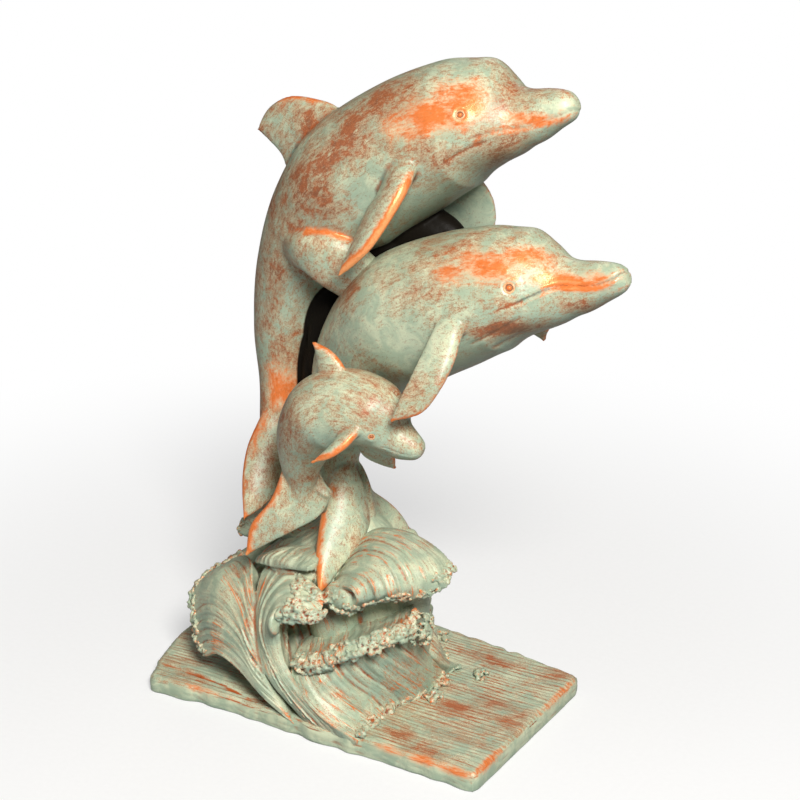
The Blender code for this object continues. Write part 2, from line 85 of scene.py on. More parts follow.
# How a body swells along its length: place, back, belly, side and keel.
# Place runs from 0 at the snout to 1 at the neck and 2 at the tail root.
# Back, belly and side are shares of the girth. Keel sharpens the section, from 1 for an ellipse.
BODY_SHAPE = [
    (0.00, 0.10, 0.10, 0.10, 1.0),
    (0.05, 0.20, 0.19, 0.19, 1.0),
    (0.18, 0.28, 0.285, 0.27, 1.0),
    (0.34, 0.355, 0.375, 0.34, 1.0),
    (0.42, 0.43, 0.40, 0.38, 1.0),
    (0.54, 0.69, 0.47, 0.51, 1.0),
    (0.67, 0.89, 0.53, 0.64, 1.0),
    (0.80, 0.93, 0.60, 0.76, 1.0),
    (1.00, 0.99, 0.78, 0.88, 1.0),
    (1.13, 1.00, 0.93, 0.95, 1.0),
    (1.28, 1.00, 1.00, 0.96, 1.0),
    (1.43, 0.92, 0.84, 0.82, 1.0),
    (1.59, 0.80, 0.66, 0.62, 1.05),
    (1.74, 0.59, 0.50, 0.44, 1.1),
    (1.87, 0.41, 0.37, 0.33, 1.1),
    (1.95, 0.34, 0.32, 0.34, 1.0),
    (2.00, 0.28, 0.28, 0.34, 1.0),
]

MM = 0.001

# Spines from the snout to the tail root, in millimetres.
UPPER_SPINE = [
    (122, 25, 375), (109, 25, 371), (97, 25, 366), (84, 25, 361), (68, 25, 356),
    (48, 25, 349), (20, 25, 335), (-11, 25, 313), (-36, 25, 284), (-54, 24, 248),
    (-64, 22, 210), (-66, 20, 178), (-66, 17, 157), (-66, 14, 140),
]
LOWER_SPINE = [
    (167, 0, 293), (152, 0, 288), (136, 0, 282), (118, 0, 276), (92, 0, 269), (60, 1, 258), (30, 3, 242),
    (5, 6, 214), (-11, 6, 180), (-19, 4, 152), (-17, 2, 118),
]
CALF_SPINE = [
    (67, -45, 186), (58, -45, 189), (48, -45, 193), (40, -45, 197), (31, -45, 201), (20, -45, 202),
    (6, -45, 197), (-5, -44, 184), (-13, -42, 166), (-16, -40, 148), (-17, -38, 132),
]

# Fins and flukes: leading edge, trailing edge and thickness, in millimetres. Both edges end at the tip.
FINS = {
    "upper_dorsal": (
        [(-22, 25, 339), (-29, 25, 352), (-42, 25, 355), (-61, 25, 354), (-75, 25, 345), (-83, 25, 331)],
        [(-50, 25, 302), (-62, 25, 308), (-67, 25, 318), (-75, 25, 325), (-83, 25, 331)], 10),
    "lower_dorsal": (
        [(14, 2, 272), (2, -5, 285), (-14, -10, 290), (-26, -11, 289), (-41, -5, 284), (-56, 8, 272)],
        [(0, 0, 244), (-13, -10, 255), (-19, -14, 260), (-29, -13, 265), (-40, -7, 265), (-56, 8, 272)], 15),
    "calf_dorsal": (
        [(20, -45, 218), (16, -45, 228), (8, -45, 235), (-3, -45, 238)],
        [(6, -45, 213), (0, -45, 221), (-1, -45, 228), (-3, -45, 238)], 6),
    "upper_near_flipper": (
        [(40, 0, 345), (43, -14, 337), (43, -25, 327), (37, -35, 310), (29, -40, 296), (11, -40, 278)],
        [(18, 6, 335), (20, -4, 331), (21, -11, 321), (17, -19, 311), (14, -29, 296), (11, -40, 278)], 11),
    "lower_near_flipper": (
        [(87, -20, 264), (87, -36, 257), (87, -46, 244), (84, -56, 231), (76, -62, 218), (59, -66, 211)],
        [(72, -20, 270), (71, -36, 262), (68, -46, 248), (64, -56, 232), (61, -63, 221), (59, -66, 211)], 9),
    "calf_near_flipper": (
        [(40, -58, 203), (38, -68, 199), (35, -74, 194), (28, -79, 188), (16, -80, 182)],
        [(26, -58, 198), (25, -67, 194), (23, -73, 190), (20, -78, 186), (16, -80, 182)], 5),
    "upper_far_flipper": (
        [(44, 36, 334), (46, 48, 320), (52, 55, 310), (55, 60, 298), (53, 64, 283), (42, 66, 266)],
        [(-6, 34, 302), (0, 46, 288), (14, 55, 278), (27, 61, 272), (36, 65, 268), (42, 66, 266)], 9),
    "lower_far_flipper": (
        [(98, 14, 264), (103, 24, 252), (106, 31, 243), (101, 35, 232)],
        [(78, 14, 258), (84, 26, 244), (93, 33, 236), (101, 35, 232)], 7),
    "calf_far_flipper": (
        [(32, -36, 184), (35, -31, 177), (39, -27, 170), (38, -25, 162)],
        [(16, -36, 180), (21, -31, 168), (31, -27, 163), (38, -25, 162)], 5),
    "upper_near_fluke": (
        [(-70, 16, 178), (-72, 6, 162), (-76, -5, 143), (-73, -16, 127), (-66, -26, 105)],
        [(-50, 16, 130), (-51, 2, 124), (-53, -10, 118), (-58, -19, 111), (-66, -26, 105)], 12),
    "upper_far_fluke": (
        [(-70, 20, 178), (-71, 32, 160), (-72, 43, 143), (-68, 52, 124), (-60, 60, 104)],
        [(-50, 20, 130), (-50, 34, 122), (-50, 45, 114), (-54, 54, 108), (-60, 60, 104)], 12),
    "lower_near_fluke": (
        [(-14, 0, 150), (-14, -12, 137), (-14, -20, 124), (-11, -30, 112), (-7, -40, 99), (1, -50, 82)],
        [(6, 0, 108), (10, -12, 106), (10, -22, 101), (7, -32, 95), (4, -43, 87), (1, -50, 82)], 14),
    "lower_far_fluke": (
        [(-12, 4, 148), (-12, 10, 134), (-7, 16, 124), (4, 23, 114), (10, 30, 102), (13, 34, 90)],
        [(6, 0, 104), (9, 6, 98), (11, 14, 92), (13, 22, 88), (14, 30, 87), (13, 34, 90)], 14),
    "calf_near_fluke": (
        [(-26, -38, 168), (-27, -44, 152), (-31, -50, 136), (-41, -56, 120), (-42, -60, 102)],
        [(0, -30, 140), (-5, -38, 127), (-16, -46, 119), (-30, -54, 110), (-42, -60, 102)], 9),
    "calf_far_fluke": (
        [(-24, -38, 166), (-26, -30, 150), (-30, -22, 136), (-36, -14, 122), (-36, -8, 106)],
        [(0, -36, 140), (-6, -28, 127), (-14, -20, 118), (-26, -12, 110), (-36, -8, 106)], 9),
}

# Pads deep in the nooks between the adults, where they touch and where the photo shows only dark;
# they are painted near black as painted shade. Centre and half sizes.
JOIN_PADS = [
    [(13, 30, 284), (36, 14, 17)], [(-33, 18, 208), (13, 9, 50)], [(2, 24, 272), (22, 12, 15)],
    [(-38, 20, 186), (14, 9, 42)], [(13, 31, 284), (40, 13, 19)],
]

# Tongues of water, each a list of guide lines that run with the flow, in millimetres.
LEFT_LOBE = [
    [(-2, -74, 7), (-24, -74, 19), (-43, -70, 30), (-60, -66, 34), (-74, -60, 26)],
    [(-10, -73, 15), (-27, -73, 27), (-44, -68, 42), (-68, -60, 44), (-88, -50, 28)],
    [(-21, -71, 28), (-33, -70, 39), (-47, -64, 55), (-70, -54, 61), (-95, -42, 41)],
    [(-31, -68, 43), (-38, -66, 52), (-51, -58, 66), (-73, -46, 73), (-101, -34, 52)],
    [(-37, -61, 57), (-43, -58, 65), (-53, -48, 75), (-69, -34, 78), (-98, -22, 59)],
    [(-41, -53, 69), (-46, -48, 75), (-53, -38, 82), (-65, -24, 80), (-85, -8, 68)],
]
MIDDLE_LOBE = [
    [(6, -72, 8), (-26, -70, 36), (-43, -50, 71), (-44, -36, 84), (-33, -34, 86), (-18, -40, 83)],
    [(13, -73, 8), (-19, -72, 34), (-37, -58, 65), (-30, -52, 83), (-9, -54, 90), (10, -58, 86)],
    [(22, -74, 8), (-10, -73, 32), (-30, -66, 57), (-26, -64, 75), (-7, -66, 86), (11, -66, 79)],
    [(30, -74, 8), (-2, -73, 30), (-21, -69, 52), (-20, -70, 67), (-10, -72, 77), (1, -70, 74)],
    [(37, -74, 8), (3, -72, 30), (-12, -68, 47), (-14, -68, 60), (-12, -70, 70), (-9, -68, 71)],
]
UPPER_LOBE = [
    [(-30, -20, 94), (-45, -24, 90), (-54, -30, 86), (-54, -34, 83)],
    [(-18, -26, 100), (-28, -34, 98), (-36, -42, 94), (-37, -44, 89)],
    [(-11, -30, 101), (-13, -42, 101), (-18, -48, 97), (-20, -48, 93)],
    [(-6, -34, 102), (-3, -46, 101), (-5, -52, 100), (-5, -52, 97)],
]
CREST = [
    [(-30, -10, 90), (-58, -10, 98), (-76, -9, 95), (-83, -8, 85)],
    [(-30, 8, 94), (-58, 10, 104), (-77, 11, 100), (-83, 12, 88)],
    [(-30, 26, 90), (-54, 30, 99), (-68, 32, 95), (-74, 32, 84)],
]
RIGHT_LOBE = [
    [(-3, -6, 95), (15, -6, 111), (38, -8, 115), (60, -12, 111), (72, -16, 105)],
    [(-1, -16, 93), (19, -22, 112), (44, -28, 116), (66, -30, 109), (73, -28, 99)],
    [(0, -26, 88), (21, -34, 109), (46, -44, 113), (60, -44, 102), (62, -38, 91)],
    [(0, -36, 83), (20, -46, 103), (40, -54, 105), (49, -54, 98), (44, -48, 89)],
    [(1, -44, 81), (17, -54, 94), (29, -60, 98), (33, -60, 92), (25, -54, 82)],
]
LOWER_CURL = [
    [(-15, -46, 47), (-10, -58, 46), (-6, -68, 45), (-4, -70, 41)],
    [(-6, -40, 52), (1, -54, 51), (9, -66, 51), (13, -68, 45)],
    [(9, -34, 58), (18, -48, 59), (27, -62, 61), (32, -64, 58)],
    [(24, -28, 63), (32, -42, 66), (41, -56, 69), (47, -56, 62)],
    [(38, -18, 70), (46, -32, 72), (55, -44, 74), (58, -42, 67)],
    [(40, -8, 71), (48, -20, 73), (57, -34, 76), (56, -30, 64)],
]
APRON = [
    [(-12, -62, 42), (-4, -71, 33), (14, -76, 21), (43, -76, 11)],
    [(5, -58, 50), (11, -66, 40), (24, -66, 26), (42, -54, 11)],
    [(20, -50, 56), (25, -56, 48), (33, -47, 29), (43, -30, 11)],
    [(34, -42, 62), (39, -46, 54), (44, -34, 32), (50, -12, 11)],
    [(44, -30, 66), (49, -32, 56), (51, -14, 33), (50, 14, 11)],
    [(44, -12, 66), (48, -6, 56), (44, 12, 34), (36, 42, 11)],
]

# How the tongues of the far side are made from those of the near side:
# mirrored or not, turned in degrees, scaled and lowered in millimetres.
FAR_SIDE = {
    "left_lobe": (True, 6, 0.76, 2),
    "middle_lobe": (True, 6, 0.78, 0),
    "upper_lobe": (True, 10, 0.85, 4),
    "right_lobe": (False, 105, 0.58, 20),
    "lower_curl": (False, 103, 0.54, 0),
    "apron": (False, 92, 0.70, 0),
}

# The heap of water inside the lobes: height, centre along, centre across, half length, half width.
HEAP = [
    (5, -20, -8, 58, 50), (28, -22, -7, 54, 47), (48, -30, -4, 42, 40), (68, -31, 0, 40, 36),
    (88, -18, 3, 33, 29), (100, -8, 4, 25, 23), (110, -6, 4, 16, 14), (114, -6, 4, 8, 7),
]

# The middle that the tongues face away from, and how many ridges wind round the heap and how deep.
HEAP_MIDDLE = (-0.018, 0.0, 0.030)
HEAP_RIDGES = 26
HEAP_RIDGE = 0.07

# The plate's outline, counter-clockwise from the front left corner, in millimetres.
PLATE_OUTLINE = [
    (-108, -75), (-51, -72), (13, -76), (71, -76), (121, -78),
    (122, 56), (70, 65), (5, 72), (-60, 58), (-116, 34), (-123, -10), (-116, -48),
]


def smooth_curve(points, count):
    """Evenly spread points on a Catmull-Rom curve through the given ones."""
    points = np.array(points, float)
    knots = np.concatenate([[0], np.cumsum(np.sqrt(np.linalg.norm(np.diff(points, axis=0), axis=1)))])
    slopes = np.gradient(points, knots, axis=0)
    fine = np.linspace(0, knots[-1], 40 * len(points))
    line = hermite(fine, knots, points, slopes)
    along = np.concatenate([[0], np.cumsum(np.linalg.norm(np.diff(line, axis=0), axis=1))])
    wanted = np.linspace(0, along[-1], count)
    return np.stack([np.interp(wanted, along, line[:, i]) for i in range(line.shape[1])], axis=1)


def hermite(at, knots, values, slopes):
    """A cubic through values at knots with the given slopes, read at the places in at."""
    cell = np.clip(np.searchsorted(knots, at, side="right") - 1, 0, len(knots) - 2)
    width = knots[cell + 1] - knots[cell]
    t = (at - knots[cell]) / width
    t, width = t[:, None], width[:, None]
    return (
        values[cell] * (2 * t**3 - 3 * t**2 + 1)
        + slopes[cell] * width * (t**3 - 2 * t**2 + t)
        + values[cell + 1] * (3 * t**2 - 2 * t**3)
        + slopes[cell + 1] * width * (t**3 - t**2)
    )


def table_at(table, places):
    """The columns of a table read smoothly at the given places, without overshoot."""
    table = np.array(table, float)
    knots, values = table[:, 0], table[:, 1:]
    steps = np.diff(values, axis=0) / np.diff(knots)[:, None]
    slopes = np.zeros_like(values)
    same = steps[1:] * steps[:-1] > 0
    mean = 2 * steps[1:] * steps[:-1] / np.where(same, steps[1:] + steps[:-1], 1)
    slopes[1:-1] = np.where(same, mean, 0)
    slopes[0], slopes[-1] = steps[0], steps[-1]
    return hermite(np.asarray(places, float), knots, values, slopes)


def unit(vectors):
    """Vectors drawn out or in to a length of one."""
    vectors = np.asarray(vectors, float)
    return vectors / np.linalg.norm(vectors, axis=-1, keepdims=True)


def grid_solid(name, rows):
    """A closed mesh over rows of points that run round the form, capped at both ends."""
    rows = np.array(rows)
    count, around = rows.shape[:2]
    mesh = bmesh.new()
    rings = [[mesh.verts.new(p) for p in row] for row in rows]
    for first, second in zip(rings, rings[1:]):
        for i in range(around):
            j = (i + 1) % around
            mesh.faces.new((first[i], first[j], second[j], second[i]))
    for ring in (rings[0], rings[-1]):
        centre = mesh.verts.new(sum((v.co for v in ring), Vector()) / around)
        for i in range(around):
            mesh.faces.new((ring[i], ring[(i + 1) % around], centre))
    bmesh.ops.recalc_face_normals(mesh, faces=mesh.faces)
    return as_object(name, mesh)


def placed(name, data):
    """A new object in the scene with the given data."""
    made = bpy.data.objects.new(name, data)
    bpy.context.scene.collection.objects.link(made)
    return made


def as_object(name, mesh):
    """A new object in the scene, made of the given working mesh."""
    data = bpy.data.meshes.new(name)
    mesh.to_mesh(data)
    mesh.free()
    return placed(name, data)


class Body:
    """A dolphin's trunk along a spine that runs from the snout to the tail root."""

    def __init__(self, name, spine, girth, head, lean, swell=1.0, slim=1.0):
        self.name, self.girth, self.swell, self.slim = name, girth, swell, slim
        self.line = smooth_curve(spine, 400)
        steps = np.linalg.norm(np.diff(self.line, axis=0), axis=1)
        self.along = np.concatenate([[0], np.cumsum(steps)])
        self.head = head
        self.forward = unit(-np.gradient(self.line, axis=0))
        aside = np.array([0, -1.0, 0])
        near = unit(aside - (self.forward @ aside)[:, None] * self.forward)
        back = np.cross(self.forward, near)
        back *= np.sign(back[len(back) // 4] @ np.array([-0.4, 0, 1.0]))
        share = np.clip(1.15 - self.along / self.along[-1], 0, 1)[:, None]
        twist = lean * share * share * (3 - 2 * share)
        self.up = back * np.cos(twist) - near * np.sin(twist)
        self.side = near * np.cos(twist) + back * np.sin(twist)

    def distance(self, place):
        """How far along the spine a place lies: 0 snout, 1 neck, 2 tail root."""
        place = np.asarray(place, float)
        rest = self.along[-1] - self.head
        return np.where(place < 1, place * self.head, self.head + (place - 1) * rest)

    def frame(self, place):
        """The spine's point and its forward, up and near-side directions at a place."""
        d = float(self.distance(place))
        read = [
            np.array([np.interp(d, self.along, field[:, i]) for i in range(3)])
            for field in (self.line, self.forward, self.up, self.side)
        ]
        return read[0], unit(read[1]), unit(read[2]), unit(read[3])

    def solid(self, stations=200, around=120):
        """The trunk as a closed mesh."""
        head = np.linspace(0, 1, stations // 2, endpoint=False)
        places = np.concatenate([head, np.linspace(1, 2, stations // 2)])
        shape = table_at(BODY_SHAPE, places)
        angles = np.linspace(0, 2 * math.pi, around, endpoint=False)
        rows = []
        for place, (back, belly, side, keel) in zip(places, shape):
            point, _, above, near = self.frame(place)
            swell = 1 + (self.swell - 1) * min(max(2 - 3 * place, 0), 1)
            tail = min(max((place - 1.3) / 0.35, 0), 1)
            swell *= 1 - (1 - self.slim) * tail * tail * (3 - 2 * tail)
            back, belly, side = back * swell, belly * swell, side * swell
            c, s = np.cos(angles), np.sin(angles)
            across = side * c * np.abs(c) ** (keel - 1)
            height = np.where(s > 0, back, belly) * s * np.abs(s) ** (keel - 1)
            rows.append(point + self.girth * (across[:, None] * near + height[:, None] * above))
        return grid_solid(self.name, rows)


def blade(name, leading, trailing, thickness, sections=48, around=32):
    """A fin between its leading and trailing edges, which meet at the tip."""
    front = smooth_curve(leading, sections)
    rear = smooth_curve(trailing, sections)
    outward = np.gradient((front + rear) / 2, axis=0)
    normal = unit(np.cross(outward[:-2], (front - rear)[:-2]))
    normal = np.concatenate([normal, normal[-1:], normal[-1:]])
    angles = np.linspace(0, 2 * math.pi, around, endpoint=False)
    rows = []
    for i, (a, b) in enumerate(zip(front, rear)):
        half = 0.5 * thickness * (1 - i / (sections - 1)) ** 0.6 + 0.0011
        chord = a - b
        if np.linalg.norm(chord) < 0.0025:
            chord = 0.0025 * unit(front[0] - rear[0])
        middle = (a + b) / 2
        row = [
            middle + 0.5 * math.cos(k) * chord + half * math.sin(k) * (1 + 0.35 * math.cos(k)) * normal[i]
            for k in angles
        ]
        rows.append(row)
    return grid_solid(name, rows)


def pad(name, centre, half):
    """An ellipsoid given by its centre and half sizes."""
    mesh = bmesh.new()
    bmesh.ops.create_icosphere(mesh, subdivisions=4, radius=1.0)
    bmesh.ops.scale(mesh, verts=mesh.verts, vec=half)
    bmesh.ops.translate(mesh, verts=mesh.verts, vec=centre)
    return as_object(name, mesh)


def mm(rows):
    """Rows of millimetres as metres."""
    return [tuple(MM * v for v in row) for row in rows]


# Casting

def join(parts, name):
    """All the forms as one object."""
    mesh = bmesh.new()
    for part in parts:
        mesh.from_mesh(part.data)
        bpy.data.objects.remove(part)
    return as_object(name, mesh)


def apply(made, kind, **settings):
    """Adds a modifier, bakes its result into the mesh and removes it."""
    modifier = made.modifiers.new(kind.title(), kind)
    for key, value in settings.items():
        setattr(modifier, key, value)
    freeze(made)


def freeze(made):
    """Bakes an object's modifiers into its mesh and removes them."""
    graph = bpy.context.evaluated_depsgraph_get()
    data = bpy.data.meshes.new_from_object(made.evaluated_get(graph))
    made.modifiers.clear()
    made.data = data


def rows_of(items, key, width=3, kind=float):
    """One field of all a mesh's points, edges or faces, as the rows of an array."""
    flat = np.empty(width * len(items), kind)
    items.foreach_get(key, flat)
    return flat.reshape(-1, width)


def keep_outer_shells(made, least=400):
    """Drops the small loose shells, such as bubbles left inside a casting."""
    count = len(made.data.vertices)
    edges = rows_of(made.data.edges, "vertices", 2, int)
    label = np.arange(count)
    while True:
        low = np.minimum(label[edges[:, 0]], label[edges[:, 1]])
        fresh = label.copy()
        np.minimum.at(fresh, edges[:, 0], low)
        np.minimum.at(fresh, edges[:, 1], low)
        fresh = fresh[fresh]
        fresh = fresh[fresh]
        if np.array_equal(fresh, label):
            break
        label = fresh
    sizes = np.bincount(label, minlength=count)
    loose = sizes[label] < least
    if loose.any():
        mesh = bmesh.new()
        mesh.from_mesh(made.data)
        mesh.verts.ensure_lookup_table()
        bmesh.ops.delete(mesh, geom=[mesh.verts[i] for i in np.flatnonzero(loose)], context="VERTS")
        mesh.to_mesh(made.data)
        mesh.free()


def cast(name, parts, voxel, passes=2):
    """The forms cast together as one skin, kept within the CAD model's box."""
    made = join(parts, name)
    apply(made, "REMESH", mode="VOXEL", voxel_size=voxel, adaptivity=0.0)
    keep_outer_shells(made)
    apply(made, "SMOOTH", factor=0.5, iterations=passes)
    skin = Skin(made)
    skin.co = np.clip(skin.co, np.array(cad_box[0]), np.array(cad_box[1]))
    skin.move(np.zeros(skin.count))
    return made


class Skin:
    """The points of a mesh, to sculpt and to paint."""

    def __init__(self, made):
        self.made, self.tree = made, None
        self.co = rows_of(made.data.vertices, "co")
        self.normal = rows_of(made.data.vertices, "normal")
        self.count = len(self.co)
        self.edges = rows_of(made.data.edges, "vertices", 2, int)
        self.degree = np.bincount(self.edges.ravel(), minlength=self.count).astype(float)

    def spread(self, values, passes):
        """Averages a field with its neighbours."""
        a, b = self.edges[:, 0], self.edges[:, 1]
        flat = values.ndim == 1
        values = values[:, None] if flat else values
        columns = [values[:, i].copy() for i in range(values.shape[1])]
        for k, column in enumerate(columns):
            for _ in range(passes):
                near = np.bincount(a, column[b], self.count) + np.bincount(b, column[a], self.count)
                column = 0.5 * column + 0.5 * near / self.degree
            columns[k] = column
        return columns[0] if flat else np.stack(columns, axis=1)

    def move(self, along_normal):
        """Moves each point along its normal and writes the points back to the mesh."""
        self.co = self.co + along_normal[:, None] * self.normal
        self.made.data.vertices.foreach_set("co", self.co.ravel())
        self.made.data.update()
        self.normal = rows_of(self.made.data.vertices, "normal")

    def relief(self, passes):
        """How far each point stands out from its surroundings, in metres."""
        return np.sum((self.co - self.spread(self.co, passes)) * self.normal, axis=1)

    def paint(self, name, values):
        """Writes a field onto the points, for the materials to read."""
        kind, key = ("FLOAT", "value") if values.ndim == 1 else ("FLOAT_VECTOR", "vector")
        attribute = self.made.data.attributes.new(name, kind, "POINT")
        attribute.data.foreach_set(key, np.ascontiguousarray(values, dtype=np.float32).ravel())

    def paint_age(self, fine, broad, grain=None, edges=1.0, **marks):
        """Paints what wear, dirt and painted shade follow: edges, creases, hollows, undersides and given
        marks.
        """
        small = self.relief(3) / fine
        wide = self.relief(60) / broad
        self.paint("edge", edges * self.spread(np.clip(small, 0, 3) + 0.6 * np.clip(wide, 0, 2), 1))
        self.paint("crease", self.spread(np.clip(-small, 0, 3) + 0.5 * np.clip(-wide, 0, 2), 1))
        self.paint("hollow", self.spread(np.clip(-wide, 0, 3), 6))
        self.paint("facing", self.spread(self.normal[:, 2], 6))
        for name in ("rub", "stain", "dark"):
            self.paint(name, marks.get(name, np.zeros(self.count)))
        self.paint("grain", self.co if grain is None else grain)

    def marks(self, rows):
        """Soft spots, each given by its place and radii in millimetres and its strength."""
        total = np.zeros(self.count)
        for place, radii, strength in rows:
            d = np.linalg.norm((self.co / MM - np.array(place)) / np.array(radii), axis=1)
            total = np.maximum(total, strength * np.exp(-d * d))
        return total

    def blend(self, place, reach, passes):
        """Smooths the skin round a place, as where a fin meets the body."""
        share = np.exp(-((np.linalg.norm(self.co - place, axis=1) / reach) ** 2))[:, None]
        self.co = self.co + share * (self.spread(self.co, passes) - self.co)
        self.move(np.zeros(self.count))


def smooth_step(x, low, high):
    """Rises softly from 0 at low to 1 at high."""
    t = np.clip((x - low) / (high - low), 0, 1)
    return t * t * (3 - 2 * t)


def finish_piece(made, material):
    """Gives a finished piece its material and its place in the model."""
    made.data.materials.clear()
    made.data.materials.append(material)
    made.data.polygons.foreach_set("use_smooth", [True] * len(made.data.polygons))
    made.data.update()
    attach(made, "root")
    return made


# Node trees

class Graph:
    """A node tree, built by adding nodes and feeding their sockets."""

    def __init__(self, tree):
        self.tree = tree
        self.tree.nodes.clear()

    def add(self, kind, inputs=None, **settings):
        """Adds a node, sets it up, and feeds its inputs, each given by name or place."""
        node = self.tree.nodes.new(kind)
        for key, value in settings.items():
            setattr(node, key, value)
        for key, value in (inputs or {}).items():
            self.feed(node.inputs[key], value)
        return node

    def feed(self, socket, value):
        """Links a value that is a node's output to a socket, or sets one that is a number."""
        if isinstance(value, bpy.types.NodeSocket):
            self.tree.links.new(value, socket)
        else:
            socket.default_value = value


# Dolphins

# Face lines in millimetres: distance back from the snout and height above the spine.
# Then each head's eye (distance back, height angle in degrees and size), how full its lips are,
# how large its features are, and how far back its blowhole lies.
FACES = {
    "upper_dolphin": {
        "mouth": [
            (-4, -1), (0, -2.5), (7, -5), (14, -6.5), (23, -7.2), (32, -7), (40, -6.8), (47, -7.6),
            (55, -9.5)],
        "creases": [[(46, -11.5), (60, -15.5), (75, -21)]],
        "eye": (55.8, 7, 0.68),
        "lips": 0.45,
        "scale": 0.9,
        "blowhole": 66,
    },
    "lower_dolphin": {
        "mouth": [
            (-4, 4), (0, 3.6), (6.5, 0.8), (16.5, -1), (26, 1.0), (34, 2.6), (40, 1.8), (45, 0.4),
            (51, -1.4), (57, -3)],
        "creases": [
            [(51, -2.5), (60, -4.5), (69, -7)], [(54, -10.5), (72, -18.5), (91, -24)],
            [(60, -20), (82, -28)]],
        "eye": (58.5, 11, 0.80),
        "lips": 0.85,
        "scale": 1.0,
        "blowhole": 66,
    },
    "calf": {
        "mouth": [(-3, 1.5), (0, 1.2), (3, -1.4), (7, -2.8), (12, -3.4), (17, -3.8), (21, -4.6)],
        "creases": [],
        "eye": (25.5, -3, 0.5),
        "lips": 0.4,
        "scale": 0.5,
        "blowhole": 30,
    },
}


def locate(body, points):
    """Distance back from the snout, height and near-side offset of points, in metres."""
    nearest = np.zeros(len(points), int)
    best = np.full(len(points), 9.0)
    for i in range(0, len(body.line), 2):
        d = np.sum((points - body.line[i]) ** 2, axis=1)
        closer = d < best
        nearest[closer], best[closer] = i, d[closer]
    away = points - body.line[nearest]
    back = body.along[nearest] - np.sum(away * body.forward[nearest], axis=1)
    return back, np.sum(away * body.up[nearest], axis=1), np.sum(away * body.side[nearest], axis=1)


def line_distance(x, y, line):
    """Distance from points to a polyline in a plane, and how far along it the nearest place is."""
    best, where = np.full(len(x), 9.0), np.zeros(len(x))
    line = np.array(line, float)
    for k, (a, b) in enumerate(zip(line, line[1:])):
        step = b - a
        t = np.clip(((x - a[0]) * step[0] + (y - a[1]) * step[1]) / (step @ step), 0, 1)
        d = np.hypot(x - a[0] - t * step[0], y - a[1] - t * step[1])
        closer = d < best
        best[closer], where[closer] = d[closer], (k + t[closer]) / (len(line) - 1)
    return best, where


def sculpt_face(skin, body, face):
    """Cuts the mouth, the throat creases and the blowhole, and presses in the eye sockets."""
    s, up, side = locate(body, skin.co)
    s, up, side = s / MM, up / MM, side / MM
    scale = face["scale"]
    mouth = smooth_curve(face["mouth"], 80)
    height = np.interp(s, mouth[:, 0], mouth[:, 1])
    end = mouth[-1, 0]
    fade = smooth_step(end + 3 - s, 0, 8) * (np.abs(side) > 0.5)
    gap = up - height
    cut = -0.8 * np.exp(-((gap / (0.75 * scale)) ** 2))
    lip = 0.75 * np.exp(-(((gap + 2.4 * scale) / (1.3 * scale)) ** 2)) * smooth_step(s, -1, 6)
    rise = 0.35 * np.exp(-(((gap - 1.8 * scale) / (1.2 * scale)) ** 2))
    change = face["lips"] * fade * (cut + lip + rise)
    folds = np.zeros(skin.count)
    crease_depth = np.where(side > 0, 0.55, 0.45)
    for crease in face["creases"]:
        d, t = line_distance(s, up, smooth_curve(crease, 30))
        ends = np.minimum(t, 1 - t)
        folds = np.maximum(folds, np.exp(-((d / 0.7) ** 2)) * smooth_step(ends, 0, 0.1))
        change -= crease_depth * np.exp(-((d / 0.8) ** 2)) * smooth_step(ends, 0, 0.15)
    ring = np.hypot((s - face["blowhole"]) / scale, side / scale)
    change -= 0.8 * np.exp(-(((ring - 3.2) / 0.8) ** 2)) * (up > 0) * (s > face["blowhole"] - 1.5)
    back, angle, size = face["eye"]
    for sign in (1, -1):
        centre = eye_place(skin, body, back, angle, sign)[0]
        r = np.linalg.norm(skin.co - centre, axis=1) / MM / size
        change += 0.7 * size * np.exp(-(((r - 6.0) / 2.6) ** 2)) - 1.5 * size * np.exp(-((r / 2.6) ** 2))
    skin.move(change * MM)
    band = np.exp(-(((gap + 0.4 * scale) / (4.2 * scale)) ** 2)) * smooth_step(end + 2 - s, 0, 18)
    return s, up, side, band, folds


def eye_place(skin, body, back, angle, sign):
    """Where an eye sits on the head, and which way it looks."""
    i = int(np.searchsorted(body.along, back * MM))
    a = math.radians(angle)
    out = math.cos(a) * sign * body.side[i] + math.sin(a) * body.up[i]
    if skin.tree is None:
        mesh = skin.made.data
        faces = [p.vertices[:] for p in mesh.polygons]
        skin.tree = BVHTree.FromPolygons([v.co for v in mesh.vertices], faces)
    hit = skin.tree.ray_cast(Vector(body.line[i] + 0.09 * out), Vector(-out))
    return np.array(hit[0]), np.array(hit[1])


# An eye's profile in millimetres: radius and height, from the middle of the ball to outside the lid.
EYE_PROFILE = [
    (0.0, 1.05), (0.6, 0.98), (1.15, 0.70), (1.55, 0.25), (1.75, -0.20), (2.0, -0.30), (2.3, -0.05),
    (2.65, 0.45), (3.1, 0.72), (3.6, 0.62), (4.2, 0.15), (4.9, -0.55), (5.4, -1.4),
]


